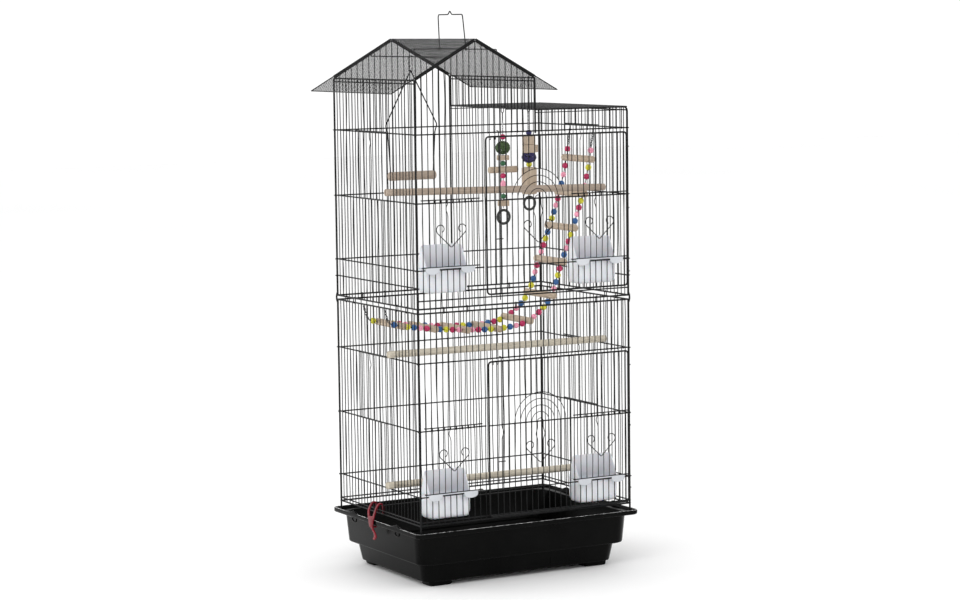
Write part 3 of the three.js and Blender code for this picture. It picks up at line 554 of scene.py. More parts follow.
def front_wall(name):
    section = SECTIONS[name]
    shape = Shape()
    outline(shape, FRONT, name)
    behind = FRONT + WELD
    column_end = bay_x(COLUMN_BAY) + 2.5
    for z in (section["sill"], head(section)):
        bar(shape, (LEFT - 3, behind, z), (column_end, behind, z))
    bar(shape, (LEFT - 3, behind, ring_level(section)), (RIGHT + 3, behind, ring_level(section)))
    levels = [section["sill"], head(section), ring_level(section)]
    for bay in range(1, BAYS_X):
        x = bay_x(bay)
        top = top_of(name, bay)
        in_feeder = FEEDER_BAYS[0] < bay < FEEDER_BAYS[1]
        if name == "upper" and bay == STEP_BAY:
            continue
        if bay > COLUMN_BAY:
            upright(shape, x, FRONT, ring_level(section) - 2, top, levels)
        elif in_feeder:
            upright(shape, x, FRONT, section["base"], section["sill"] + 1.5, levels)
            upright(shape, x, FRONT, head(section) - 1.5, top, levels)
        else:
            upright(shape, x, FRONT, section["base"], top, levels)
    if name == "upper":
        bar(shape, (LEFT, behind, GUARD_FRONT), (RIGHT, behind, GUARD_FRONT), RAIL_R)
    shape.make(f"{name}_front_wires", "cage", "black_wire", BLACK, [f"{name}_front_panel"])


def back_wall(name):
    section = SECTIONS[name]
    shape = Shape()
    outline(shape, BACK, name)
    levels = [section["sill"], head(section), ring_level(section)]
    for z in levels:
        bar(shape, (LEFT - 3, BACK - WELD, z), (RIGHT + 3, BACK - WELD, z))
    for bay in range(1, BAYS_X):
        if name == "upper" and bay == STEP_BAY:
            bar(shape, (bay_x(bay), BACK, section["base"]), (bay_x(bay), BACK, ring_level(section)), POST_R)
            continue
        upright(shape, bay_x(bay), BACK, section["base"], top_of(name, bay), levels, bow=0.9)
    shape.make(f"{name}_back_wires", "cage", "black_wire", BLACK, [f"{name}_back_panel"])


# ---- side walls --------------------------------------------------------------------------------------------
def side_wall(name, word):
    section = SECTIONS[name]
    sign = -1 if word == "left" else 1
    x = sign * RIGHT
    inner = x - sign * WELD
    low, high = FRONT + END_WIRE, BACK - END_WIRE
    top = EAVE if name == "upper" and word == "left" else section["top"]
    shape = Shape()
    doors = [bay_y(bay) for bay in SIDE_DOOR_BAYS[name]]
    levels = [section["sill"], head(section), ring_level(section)]
    if name == "upper":
        levels.append(GUARD_SIDE)
    for z in (section["base"], top):
        bar(shape, (x, low - 1, z), (x, high + 1, z), SEAM_R)
    for y in (low, high):
        bar(shape, (x, y, section["base"]), (x, y, top), WIRE_R)
    second = section["base"] + SECOND_RAIL if name == "lower" else top - SECOND_RAIL
    bar(shape, (x, low, second), (x, high, second))
    for z in levels:
        bar(shape, (inner, low - 1, z), (inner, high + 1, z))
        for y, post in ((low, FRONT), (high, BACK)):
            hoop(shape, (x, post, z), 2.9, 0.95)
    for bay in range(1, BAYS_Y):
        y = bay_y(bay)
        is_open = SIDE_DOOR_BAYS[name][0] < bay < SIDE_DOOR_BAYS[name][1]
        if is_open:
            upright(shape, x, y, section["base"], head(section) + 1.5, levels, ALONG_Y, bow=0.8)
            upright(shape, x, y, ring_level(section) - 1.5, top, levels, ALONG_Y)
        else:
            upright(shape, x, y, section["base"], top, levels, ALONG_Y, bow=0.8)
    for z in (head(section), ring_level(section)):
        bar(shape, (x, doors[0] - 2.5, z), (x, doors[1] + 2.5, z))
    shape.make(f"{name}_{word}_wires", "cage", "black_wire", BLACK, [f"{name}_{word}_panel"])


def side_door(name, word):
    section = SECTIONS[name]
    sign = -1 if word == "left" else 1
    out = sign * (RIGHT + LAYER)
    low, top = head(section) + 1, ring_level(section) + 2
    first, last = SIDE_DOOR_BAYS[name]
    shape = Shape()
    for z in (low, top):
        bar(shape, (out, bay_y(first) - 4, z), (out, bay_y(last) + 4, z), 1.1)
    for bay in range(first + 1, last):
        y = bay_y(bay)
        if bay == SIDE_KINK_BAY[name]:
            kink = [(out, y, low), (out, y, top - 30), (out, y - 5, top - 21), (out, y, top - 12), (out, y, top)]
            shape.tube(rounded(kink, 3, 3), THIN_R)
        else:
            upright(shape, out, y, low - 1, top + 1, [], ALONG_Y, THIN_R)
    shape.make(f"{name}_{word}_side_door_wires", f"{name}_{word}_side_door", "black_wire", BLACK,
               [f"{name}_{word}_side_door"])


# ---- hearts, arcs and doors ---------------------------------------------------------------------------------
CURL = {"x": 21.0, "z": 32.5, "outer": 9.6, "inner": 5.4, "start": -42, "end": 255}


def heart(shape, x, y, foot):
    """Two thin wires from the foot up and out, each curling inwards at its top."""
    for sign in (-1, 1):
        path = [Vector((x + sign * 0.4, y, foot))]
        steps = 22
        for k in range(steps + 1):
            t = k / steps
            angle = math.radians(CURL["start"] + (CURL["end"] - CURL["start"]) * t)
            radius = CURL["outer"] + (CURL["inner"] - CURL["outer"]) * t
            path.append(Vector((x + sign * (CURL["x"] + radius * math.cos(angle)), y,
                                foot + CURL["z"] + radius * math.sin(angle))))
        shape.tube(path, 0.85, 6)


def arc(shape, x, y, z, radius):
    steps = 18
    path = [(x - radius * math.cos(math.pi * k / steps), y, z + radius * math.sin(math.pi * k / steps))
            for k in range(steps + 1)]
    shape.tube(path, THIN_R, 6)


ARC_RADII = [(n + 0.5) * DOOR_PITCH for n in range(5)]
HEART_FOOT = {"lower": 213, "upper": 615}


def main_door(name):
    section = SECTIONS[name]
    low = section["door"]
    top = low + DOOR_HEIGHT
    y = DOOR_Y
    behind = y + WELD - 0.1
    shape = Shape()
    frame_path = [(FRAME_LEFT, y, low), (FRAME_RIGHT, y, low), (FRAME_RIGHT, y, top), (FRAME_LEFT, y, top)]
    shape.tube(rounded(frame_path, 7, 5, closed=True), POST_R * 0.94, closed=True)
    bar(shape, (FRAME_LEFT, behind, section["sill"]), (FRAME_RIGHT, behind, section["sill"]), 1.1)
    head_z = head(section)
    bar(shape, (FRAME_LEFT, behind, head_z), (FRAME_RIGHT, behind, head_z), 1.1)
    bar(shape, (ARC_X - 73, y - 1.7, head_z + 1), (ARC_X + 69, y - 1.7, head_z + 1), 1.0)
    bar(shape, (DOOR_FEEDER[0], y, section["sill"]), (FRAME_RIGHT, y, section["sill"]))
    bar(shape, (DOOR_FEEDER[0], y, head_z), (FRAME_RIGHT, y, head_z))
    levels = [section["sill"], head_z]
    for radius in ARC_RADII:
        arc(shape, ARC_X, y, head_z, radius)
    for radius in ARC_RADII:
        for x in (ARC_X - radius, ARC_X + radius):
            if radius == ARC_RADII[0]:
                out = 4.0 if x > ARC_X else -4.0
                kink = [(x, y, low), (x, y, head_z - 32), (x + out, y, head_z - 23), (x, y, head_z - 12), (x, y, head_z)]
                shape.tube(rounded(kink, 4, 3), THIN_R)
            else:
                upright(shape, x, y, low, head_z, levels)
            if radius < ARC_RADII[-1]:
                rise = math.sqrt(ARC_RADII[-1] ** 2 - radius ** 2)
                upright(shape, x, y, head_z + rise - 1, top, levels)
    for n in (5.5, 6.5, 7.5):
        upright(shape, ARC_X - n * DOOR_PITCH, y, low, top, levels)
    for x in (ARC_X + 63, *DOOR_FEEDER):
        upright(shape, x, y, low, top, levels)
    for n in range(1, 9):
        x = DOOR_FEEDER[0] + n * PITCH_X
        upright(shape, x, y, low, section["sill"], [])
        upright(shape, x, y, head_z, top, [])
    heart(shape, ARC_X - 1, y - 1.5, HEART_FOOT[name])
    for z in (low + 24, low + DOOR_HEIGHT / 2, top - 28):
        hoop(shape, (RIGHT, FRONT, z + 1.5), 2.8, 0.8)
        bar(shape, (RIGHT - 1.5, FRONT - 2.6, z + 1.5), (FRAME_RIGHT, y, z + 1.5), 0.9)
    for x in (FRAME_LEFT + 8, FRAME_LEFT + 18):
        hoop(shape, (x, y - 2.0, top - 2.5), 2.6, 0.7, ALONG_X)
    shape.make(f"{name}_main_door_wires", f"{name}_main_door", "black_wire", BLACK, [f"{name}_main_door"])


BOLT_X = -55


def door_bolt(name):
    section = SECTIONS[name]
    y = FEED_Y
    low, high = cad(f"{name}_door_bolt")
    foot = low.z
    hook = high.z - 0.9
    grip = section["door"] + (99 if name == "upper" else 100)
    shape = Shape()
    path = [(BOLT_X, y, foot), (BOLT_X, y, hook), (BOLT_X, FRONT + 1.4, hook)]
    if name == "lower":
        kink = head(section) - 8
        path[1:1] = [(BOLT_X, y, kink - 16), (BOLT_X + 4, y, kink - 5), (BOLT_X, y, kink + 6)]
    shape.tube(rounded(path, 3, 4), 0.9)
    bar(shape, (BOLT_X - 9, y - 0.9, grip), (BOLT_X + 7, y - 0.9, grip), 0.9)
    shape.make(f"{name}_door_bolt_wire", f"{name}_door_bolt", "black_wire", BLACK, [f"{name}_door_bolt"])


LOOP_ROOM = 1.85                         # a guide loop's radius past the wire it slides on


def feeder_door(name, word, centre, y, wall):
    section = SECTIONS[name]
    low, top = section["sill"] + 5.2, head(section) + 5.6
    shape = Shape()
    for z in (low, top):
        bar(shape, (centre - 59, y, z), (centre + 59, y, z), 1.05)
        if z == low or word == "left":
            for side in (-1, 1):
                hoop(shape, (centre + side * 55, (y + wall) / 2, z), (wall - y) / 2 + LOOP_ROOM, 0.7)
    foot = HEART_FOOT[name]
    for n in range(1, 9):
        x = centre + (n - 4.5) * PITCH_X
        if n == 4:
            out = y - 0.4
            kink = [(x, out, low), (x, out, foot + 58), (x - 4.5, out, foot + 68), (x, out, foot + 78), (x, out, top)]
            shape.tube(rounded(kink, 4, 3), THIN_R)
        else:
            upright(shape, x, y, low - 1, top + 1, [], ALONG_X, THIN_R)
    heart(shape, centre, y - 1.35, foot)
    shape.make(f"{name}_{word}_feeder_door_wires", f"{name}_{word}_feeder_door", "black_wire", BLACK,
               [f"{name}_{word}_feeder_door"])


# ---- step wall and flat top ----------------------------------------------------------------------------------
def top_panel():
    low, high = FRONT + END_WIRE, BACK - END_WIRE
    left, right = bay_x(STEP_BAY), RIGHT - END_WIRE
    shape = Shape()
    edge = [(left, low, FLAT_TOP), (right, low, FLAT_TOP), (right, high, FLAT_TOP), (left, high, FLAT_TOP)]
    shape.tube(rounded(edge, 3, 3, closed=True), EDGE_R, closed=True)
    bar(shape, (left, low, EAVE), (left, high, EAVE), EDGE_R)
    bar(shape, (left, low, EAVE - SECOND_RAIL), (left, high, EAVE - SECOND_RAIL))
    for y in (low, high):
        bar(shape, (left, y, FLAT_TOP), (left, y, EAVE), EDGE_R)
    for share in (1 / 3, 2 / 3):
        y = low + (high - low) * share
        bar(shape, (left, y, FLAT_TOP - WELD), (right, y, FLAT_TOP - WELD))
    for bay in range(STEP_BAY + 1, BAYS_X):
        path = bowed((bay_x(bay), low, FLAT_TOP), (bay_x(bay), high, FLAT_TOP), ALONG_X, [100, 210])
        shape.tube(path, WIRE_R)
    for bay in range(1, BAYS_Y):
        upright(shape, left, bay_y(bay), FLAT_TOP, EAVE, [], ALONG_Y)
    shape.make("step_and_flat_top_wires", "cage", "black_wire", BLACK, ["step_and_flat_top"])


# ---- roof ------------------------------------------------------------------------------------------------------
MESH_Y = 7.4                             # diamond's width along the ridge
MESH_OUT = 5.4                           # diamond's height down the slope
STRAND_R = 0.30


def sheet_z(out):
    return APEX + SHEET_LIFT - SLOPE * out


def strand(shape, side, start, end):
    """One strand of the expanded mesh, clipped to the sheet by its caller."""
    a, b = (Vector((RIDGE_X + side * out, y, sheet_z(out) + 0.6)) for out, y in (start, end))
    shape.tube([a, b], STRAND_R, 4, flat=1.3)


def mesh_strands(shape, side, low, high, tip):
    """Two families of straight strands that cross in diamonds over the whole sheet."""
    lean = MESH_OUT / MESH_Y
    width = high - low
    for sign in (-1, 1):
        first = -width * lean if sign > 0 else 0.0
        last = tip if sign > 0 else tip + width * lean
        count = int((last - first) / MESH_OUT)
        for k in range(count + 1):
            at_low = first + k * MESH_OUT + 1.1
            at_high = at_low + sign * width * lean
            ends = []
            for target in (1.4, tip):
                t = (target - at_low) / (at_high - at_low)
                ends.append(t)
            t0, t1 = max(0.0, min(ends)), min(1.0, max(ends))
            if t1 - t0 < 0.004:
                continue
            start, end = ((at_low + (at_high - at_low) * t, low + width * t) for t in (t0, t1))
            strand(shape, side, start, end)


def roof_slope(word, side):
    low, high = FRONT - 1, BACK + 1
    tip = HALF_SPAN + EAVE_OUT
    shape = Shape()
    mesh_strands(shape, side, low, high, tip - 0.4)
    shape.make(f"roof_{word}_mesh", "cage", "roof_mesh", ROOF_BLACK, [f"roof_{word}_slope"])
    edges = Shape()

    def at(out, y, lift=0.0):
        return (RIDGE_X + side * out, y, sheet_z(out) + lift)

    for y in (low + 0.4, high - 0.4):
        bar(edges, at(1.6, y), at(HALF_SPAN, y), 1.7)
        bar(edges, at(HALF_SPAN, y), at(tip - 0.4, y), 1.0)
    bar(edges, at(tip - 0.6, low), at(tip - 0.6, high), 0.9)
    bar(edges, at(1.6, low), at(1.6, high), 0.7)
    mid_lift = -6.5 if side < 0 else 1.2 + 4.6
    x, _, z = at(MID_SPAN, 0, mid_lift)
    end = BACK - END_WIRE
    sheet = sheet_z(MID_SPAN) + 0.6
    path = [(x, -end + 1, sheet), (x, -end + 1, z), (x, end - 1, z), (x, end - 1, sheet)]
    edges.tube(rounded(path, 2, 3), 1.0)
    edges.make(f"roof_{word}_edge_wires", "cage", "black_wire", BLACK)


def carry_handle():
    low, high = cad("carry_handle")
    x = (low.x + high.x) / 2 - SHIFT
    pivot = low.z + 2.4
    peak = high.z - 1.2
    top = peak - 7
    left, right = low.y + 4, high.y - 4
    middle = (left + right) / 2
    path = [(x, left, pivot + 1), (x, left + 11, top - 4), (x, left + 13, top), (x, middle + 2, top),
            (x, middle + 9, peak), (x, middle + 16, top), (x, right + 2, top), (x, right + 4, top - 4),
            (x, right, pivot + 1)]
    shape = Shape()
    shape.tube(rounded(path, 3, 4), 1.1)
    for y in (left, right):
        hoop(shape, (x, y, pivot), 2.1, 0.8, ALONG_Y)
    shape.make("carry_handle_wire", "carry_handle", "black_wire", BLACK, ["carry_handle"])


# ---- tray --------------------------------------------------------------------------------------------------------
def base_tray():
    shape = Shape()
    profile = [
        (195.6, 134.6, 9.0, 20), (197.1, 136.1, 9.4, 21), (197.8, 136.9, 11.0, 22),
        (203.6, 142.6, 41.5, 24), (204.2, 143.3, 43.0, 24), (214.4, 153.4, 43.6, 26), (216.1, 155.1, 44.3, 26),
        (216.9, 155.9, 46.5, 26), (220.7, 160.6, 94.0, 28), (221.6, 161.6, 96.0, 27), (229.6, 169.6, 96.9, 12),
        (232.1, 171.9, 97.6, 12), (233.4, 172.9, 99.2, 12), (233.5, 173.0, 104.6, 12), (233.1, 172.6, 105.7, 12),
        (232.2, 171.8, 106.0, 11), (231.0, 170.5, 105.7, 10), (230.4, 169.9, 104.6, 9), (229.6, 169.1, 100.6, 8),
        (228.4, 167.9, 100.0, 8), (218.6, 158.6, 100.0, 25), (217.2, 157.2, 99.4, 26), (216.7, 156.6, 97.6, 26),
        (213.5, 152.5, 47.0, 24), (212.6, 151.6, 46.2, 24), (202.0, 141.0, 45.8, 22), (200.9, 139.9, 45.0, 22),
        (196.0, 135.0, 13.0, 20), (194.4, 133.4, 12.0, 19),
    ]
    shape.loft([round_rect(hx, hy, z, r, steps=8) for hx, hy, z, r in profile])
    for sx in (-1, 1):
        for sy in (-1, 1):
            centre = (sx * 164, sy * 112)
            levels = ((21.0, 16.0, 0.0, 5), (22.4, 17.4, 0.8, 6), (23.0, 18.0, 2.4, 6), (24.0, 19.0, 10.5, 6))
            shape.loft([round_rect(hx, hy, z, r, centre) for hx, hy, z, r in levels])
    shell = shape.make("tray_shell", "cage", "tray_plastic", TRAY_BLACK, ["base_tray"], sharp=50)
    # the rim's top faces take the painted highlight
    shell.data.materials.append(RIM_PAINTED_HIGHLIGHT)
    for face in shell.data.polygons:
        if face.center.z * MM > RIM_TOP - 0.6 and face.normal.z > 0.5:
            face.material_index = 1
    tabs = Shape()
    for sx in (-1, 1):
        for y in (-86, 86):
            rim_tab(tabs, (sx * 231.2, y), ALONG_Y, sx)
    tabs.tube([(60, -137.9, 14), (60, -141.1, 32)], 0.6)
    tabs.make("tray_rim_tabs", "cage", "tray_plastic", TRAY_BLACK, sharp=50)


def rim_tab(shape, centre, along, outward):
    """A low wave moulded on the rim, with a small hook below it."""
    steps = 16
    half = 22
    across = along.cross(UP) * outward
    rings = []
    for k in range(steps + 1):
        t = k / steps * 2 - 1
        rise = 0.4 + 5.2 * (0.5 + 0.5 * math.cos(math.pi * t)) ** 1.2
        middle = Vector((*centre, 104.8)) + along * t * half
        rings.append([middle + across * a + UP * b for a, b in
                      ((-2.3, 0), (2.3, 0), (2.0, rise * 0.75), (1.0, rise), (-1.0, rise), (-2.0, rise * 0.75))])
    shape.loft(rings)
    under = Vector((*centre, 98.5)) - across * 1.0
    loop = [under + along * a + UP * b for a, b in ((-9, 1), (-8, -6), (0, -8.5), (7, -5), (6, 1))]
    shape.tube(smooth_path(loop, 4), 1.5)


def swept_blade(shape, path, widths, thick, across):
    """A flat strip with soft edges along a path."""
    points = smooth_path(path, 5)
    count = len(points)
    rings = []
    for i, point in enumerate(points):
        t = i / (count - 1) * (len(widths) - 1)
        k = min(int(t), len(widths) - 2)
        half = (widths[k] + (widths[k + 1] - widths[k]) * (t - k)) / 2
        ahead = (points[min(i + 1, count - 1)] - points[max(i - 1, 0)]).normalized()
        lift = ahead.cross(across).normalized() * thick / 2
        rings.append([point + across * a * half + lift * b for a, b in
                      ((-1, -0.5), (-0.8, -1), (0.8, -1), (1, -0.5), (1, 0.5), (0.8, 1), (-0.8, 1), (-1, 0.5))])
    if (rings[0][1] - rings[0][0]).cross(rings[0][2] - rings[0][1]).dot(points[1] - points[0]) < 0:
        rings = [list(reversed(ring)) for ring in rings]
    shape.loft(rings)


def tray_clip(word):
    side = -1 if word == "left" else 1
    low, high = cad(f"tray_clip_{word}")
    middle = (low.y + high.y) / 2
    claws = (low.y + 2.5, high.y - 2.5)
    top = high.z
    shape = Shape()
    for y in claws:
        lean = (middle - y) * 0.55
        path = [(217.0, y, 117.0), (217.0, y, top - 8), (219.4, y, top - 2.2), (225.0, y, top - 1.7),
                (230.4, y, top - 8), (234.2, y + lean * 0.05, 120), (235.9, y + lean * 0.85, 106)]
        swept_blade(shape, [(side * px, py, pz) for px, py, pz in path], [3.4, 4.6, 5.2, 5.2, 5.2, 5.8, 8.4],
                    2.6, ALONG_Y)
    palm = [(235.6, 113), (236.1, 104), (235.9, 93)]
    swept_blade(shape, [(side * px, middle, pz) for px, pz in palm], [17, 19, 12], 2.6, ALONG_Y)
    lip = [(235.6, 94.6), (232.0, 93.3), (227.0, 93.3)]
    swept_blade(shape, [(side * px, middle, pz) for px, pz in lip], [13, 13, 12], 2.2, ALONG_Y)
    tail = [(235.8, 96, 0), (234.8, 90, -3.5), (232.8, 82, -8.5), (231.8, 75.5, -8.0), (233.0, low.z + 1.2, -5.0)]
    swept_blade(shape, [(side * px, middle + py, pz) for px, pz, py in tail], [12, 8.4, 7.6, 9.6, 8.0], 2.4, ALONG_Y)
    shape.make(f"tray_clip_{word}_hook", f"tray_clip_{word}", "red_plastic", CLIP_RED, [f"tray_clip_{word}"])


# ---- feeder cups ---------------------------------------------------------------------------------------------------
CUP_HALF = 41.5
CUP_DEPTH = 44.5
CUP_WALL = 1.5
HOOD_LEAN = 13
HOOD_RISE = 40


def feeder_cup(name, word, centre, wall_y, door_y):
    sill = SECTIONS[name]["sill"]
    front = wall_y + 3.9
    deep = CUP_DEPTH / 2
    middle = (centre, front + deep)
    shape = Shape()

    def level(inset, z, radius=8.0):
        return round_rect(CUP_HALF - inset, deep - inset, z, radius, middle, 6)

    shape.loft([
        level(5.2, sill - 42, 6), level(3.4, sill - 41.4, 7), level(1.4, sill - 38.5, 8), level(0.4, sill - 33),
        level(0, sill - 28), level(0, sill + 1.6), level(-0.6, sill + 2.0), level(-0.6, sill + 3),
        level(CUP_WALL, sill + 3, 7), level(CUP_WALL + 0.2, sill - 28, 7), level(CUP_WALL + 1.0, sill - 37, 7),
        level(CUP_WALL + 3.4, sill - 39.6, 6), level(CUP_WALL + 5.5, sill - 40.2, 5),
    ])
    back = front + CUP_DEPTH
    at = hood_path(front, back)
    rings = []
    steps = 34
    for k in range(steps + 1):
        x, y, rise, facing = at(k / steps)
        inward = Vector((-facing[0], -facing[1], 0)) * CUP_WALL
        foot = Vector((centre + x, y, sill + 1))
        top = Vector((centre + x, y - HOOD_LEAN * rise, sill + 3 + HOOD_RISE * rise))
        rings.append([foot, foot + inward, top + inward, top])
    shape.loft(rings)
    body = "cage" if word == "left" else f"{name}_main_door"
    shape.make(f"{name}_{word}_cup_bowl", body, "white_plastic", CUP_WHITE, [f"{name}_{word}_feeder_cup"])
    # the ledge and lobes take the darker copy of the cup plastic, painted shade
    cup_tabs(centre, sill, front, door_y).make(f"{name}_{word}_cup_tabs", body, "white_plastic", TAB_WHITE_SHADED)


def hood_path(front, back):
    """The cup's hood in plan: up one cheek, across the back and down the other.

    Gives x, y, the share of the hood's height and the way that the wall faces.
    """
    corner = 8.0
    start = front + 5
    cheek = back - corner - start
    bend = math.pi / 2 * corner
    across = 2 * (CUP_HALF - corner)
    total = 2 * cheek + across + 2 * bend

    def at(t):
        run = t * total
        if run > total / 2:
            x, y, rise, facing = at(1 - t)
            return -x, y, rise, (-facing[0], facing[1])
        if run < cheek:
            return -CUP_HALF, start + run, run / cheek * 0.94, (-1, 0)
        run -= cheek
        if run < bend:
            angle = run / corner
            place = (-CUP_HALF + corner * (1 - math.cos(angle)), back - corner + corner * math.sin(angle))
            return *place, 0.94 + 0.06 * run / bend, (-math.cos(angle), math.sin(angle))
        return -CUP_HALF + corner + run - bend, back, 1.0, (0, 1)

    return at


LOBE = {"offset": 36, "half": 14.0, "drop": 8.6}


def cup_tabs(centre, sill, front, door_y):
    """The ledge over the sill and the two round lobes that hang in front of it."""
    out = door_y - 1.5
    tabs = Shape()
    for side in (-1, 1):
        x = centre + side * LOBE["offset"]
        tabs.block((x - 6.2, out - 0.6, sill + 1.5), (x + 6.2, front + 1, sill + 3.5), 0.5, 0.3)
        arc_points = []
        for k in range(15):
            angle = math.pi * k / 14
            arc_points.append((x - LOBE["half"] * math.cos(angle), sill + 1.2 - LOBE["drop"] * math.sin(angle) ** 0.7))
        arc_points += [(x + LOBE["half"], sill + 4.6), (x - LOBE["half"], sill + 4.6)]
        face = [Vector((px, out, pz)) for px, pz in arc_points]
        edge = [Vector((x + (p.x - x) * 0.94, out - 1.2, sill + (p.z - sill) * 0.94)) for p in face]
        tabs.loft([face, [p - Vector((0, 0.7, 0)) for p in face], edge])
    tabs.block((centre - 47, out - 1.0, sill + 3.0), (centre + 47, out + 0.2, sill + 4.8), 0.4, 0.3)
    return tabs


# ---- perches and swing -----------------------------------------------------------------------------------------------
PERCH_R = 6.5
PERCH_END = (10.0, 3.0)                  # how far a perch passes the left and the right wall


def perch(name):
    low, high = cad(name)
    radius = PERCH_R
    bays = {"lower_perch": (9, 8)}.get(name, (8, 7))
    left = Vector((LEFT, bay_y(bays[0]), high.z - radius))
    right = Vector((RIGHT, bay_y(bays[1]), low.z + radius))
    ahead = (right - left).normalized()
    side = ahead.cross(UP).normalized()
    deep = 20.0
    sides = 28
    shape = Shape()
    start, end = left + ahead * deep, right - ahead * deep
    count = 24
    rings = []
    for k in range(count + 1):
        point = start.lerp(end, k / count)
        wobble = rng.gauss(0, 0.04)
        rings.append(Shape.circle(point, radius - 0.05 + wobble * 0.4, side, ahead.cross(side), sides))
    shape.loft(rings)
    half_slot = 2.0
    for origin, outward, beyond in ((left, -1, PERCH_END[0]), (right, 1, PERCH_END[1])):
        for sign in (-1, 1):
            prong = []
            limit = math.acos(half_slot / radius)
            for k in range(sides // 2 + 1):
                angle = -limit + 2 * limit * k / (sides // 2)
                prong.append((sign * radius * math.cos(angle), radius * math.sin(angle)))
            rings = []
            for along, shrink in ((-deep - 2, 1.0), (beyond - 1.0, 1.0), (beyond, 0.88)):
                centre = origin + ahead * outward * along
                rings.append([centre + side * (a if abs(a) <= half_slot + 0.01 else sign * max(abs(a) * shrink, half_slot))
                              + UP * b * shrink for a, b in prong])
            if (sign > 0) == (outward > 0):
                rings = [list(reversed(ring)) for ring in rings]
            shape.loft(rings)
    look = WOOD[0] if name == "upper_perch" else PALE_WOOD
    shape.make(f"{name}_rod", "cage", "wood", look, [name], sharp=50)


def swing():
    hook_low, hook_high = cad("swing_hook")
    wire_low, wire_high = cad("swing_wire")
    seat_low, seat_high = cad("swing_seat")
    x = (wire_low.x + wire_high.x) / 2 - SHIFT
    y = (seat_low.y + seat_high.y) / 2
    top = hook_high.z - 0.9
    pivot = hook_low.z + 0.9
    link = Shape()
    link.tube(rounded([(x - 3.4, y, pivot), (x - 3.4, y, top), (x + 3.4, y, top), (x + 3.4, y, pivot)], 3.2, 5,
                      closed=True), 0.65, closed=True)
    link.make("swing_hook_link", "cage", "black_wire", BLACK, ["swing_hook"])
    seat_z = (seat_low.z + seat_high.z) / 2
    seat_r = (seat_high.z - seat_low.z) / 2
    half = (seat_high.x - seat_low.x) / 2
    reach = half + 6
    wires = Shape()
    eye = wire_high.z - 0.9
    for sign in (-1, 1):
        path = [(x, y, eye), (x + sign * 0.1, y + 3.0, eye - 1), (x + sign * 3.4, y + 1.8, eye - 4),
                (x + sign * 7, y, eye - 13), (x + sign * reach, y, seat_z + 92), (x + sign * (reach - 4.5), y, seat_z + 80),
                (x + sign * (reach - 9), y, seat_z + seat_r - 1)]
        if sign < 0:
            path[1] = (x - 0.1, y - 3.0, eye - 1)
            path[2] = (x - 3.4, y - 1.8, eye - 4)
        wires.tube(rounded(path, 4, 4), 1.1)
    wires.make("swing_arms", "swing", "black_wire", BLACK, ["swing_wire"])
    seat = Shape()
    seat.lathe((x, y, seat_z), [(seat_r - 1.2, -half), (seat_r - 0.1, -half + 1.2), (seat_r, -half + 6), (seat_r, 0),
                                (seat_r, half - 6), (seat_r - 0.1, half - 1.2), (seat_r - 1.2, half)], (1, 0, 0), 28)
    seat.make("swing_seat_rod", "swing", "wood", WOOD[0], ["swing_seat"], sharp=50)


# ---- hanging toys ----------------------------------------------------------------------------------------------------
def bead(shape, centre, radius, axis=(0, 0, 1), length=0.92):
    """A turned bead with flattened ends and a dimple at its hole."""
    rows = 9
    lathe = [(0.9, -radius * length + 0.5), (1.5, -radius * length)]
    for k in range(1, rows):
        angle = math.pi * (k / rows - 0.5)
        lathe.append((max(1.6, radius * math.cos(angle) ** 0.8), radius * length * math.sin(angle)))
    lathe += [(1.5, radius * length), (0.9, radius * length - 0.5)]
    shape.lathe(centre, lathe, axis, 16)


def wicker_ball(name, x, y, z, radius, squash, look, slot, body, node):
    """A ball of dyed vine, wound in many turns around an open middle."""
    local = random.Random(len(name) + int(radius))
    shape = Shape()
    for turn in range(26):
        axis = Vector((local.gauss(0, 1), local.gauss(0, 1), local.gauss(0, 1))).normalized()
        helper = ALONG_X if abs(axis.x) < 0.8 else ALONG_Y
        side = (helper - axis * helper.dot(axis)).normalized()
        up = axis.cross(side)
        offset = local.uniform(-0.42, 0.42)
        reach = math.sqrt(1 - offset ** 2)
        thick = local.uniform(0.8, 1.25)
        phase = local.uniform(0, 6.3)
        path = []
        for k in range(26):
            angle = 2 * math.pi * k / 26
            lift = radius - 1.4 + 0.5 * math.sin(3 * angle + phase)
            point = (side * math.cos(angle) + up * math.sin(angle)) * reach * lift + axis * offset * radius * 0.9
            path.append(Vector((x + point.x, y + point.y, z + point.z * squash)))
        shape.tube(path, thick, 6, closed=True)
    shape.make(name, body, slot, look, [node])


def hook_wire(shape, x, y, hook_z):
    """The bent hook of a toy around a wire of the flat top."""
    over = hook_z + 2.3
    shape.tube(rounded([(x - 2.4, y, hook_z - 9), (x + 2.4, y, hook_z - 9), (x + 2.4, y, over), (x - 2.4, y, over)],
                       2.3, 4, closed=True), 0.75, closed=True)


def chain(shape, path, link=4.6, width=2.7, wire=0.62):
    """Oval links along a path, each turned a quarter from the one before."""
    points = [Vector(p) for p in path]
    lengths = [(b - a).length for a, b in zip(points, points[1:])]
    total = sum(lengths)
    count = max(1, round(total / (link - 1.1)))
    for n in range(count):
        at = (n + 0.5) / count * total
        k = 0
        while k < len(lengths) - 1 and at > lengths[k]:
            at -= lengths[k]
            k += 1
        ahead = (points[k + 1] - points[k]).normalized()
        centre = points[k] + ahead * at
        helper = ALONG_X if abs(ahead.x) < 0.8 else ALONG_Y
        side = (helper - ahead * helper.dot(ahead)).normalized()
        up = ahead.cross(side)
        across = side if n % 2 else up
        ring = []
        for j in range(12):
            angle = 2 * math.pi * j / 12
            ring.append(centre + ahead * (link / 2 + 0.3) * math.cos(angle) + across * width / 2 * math.sin(angle))
        shape.tube(ring, wire, 5, closed=True)


def toy_beads(prefix, body, x, y, places):
    for n, (z, radius, tone, length) in enumerate(places):
        slot, look = BEADS[tone]
        shape = Shape()
        bead(shape, (x, y, z), radius, (0, 0, 1), length)
        shape.make(f"{prefix}_bead_{n + 1}", body, slot, look)


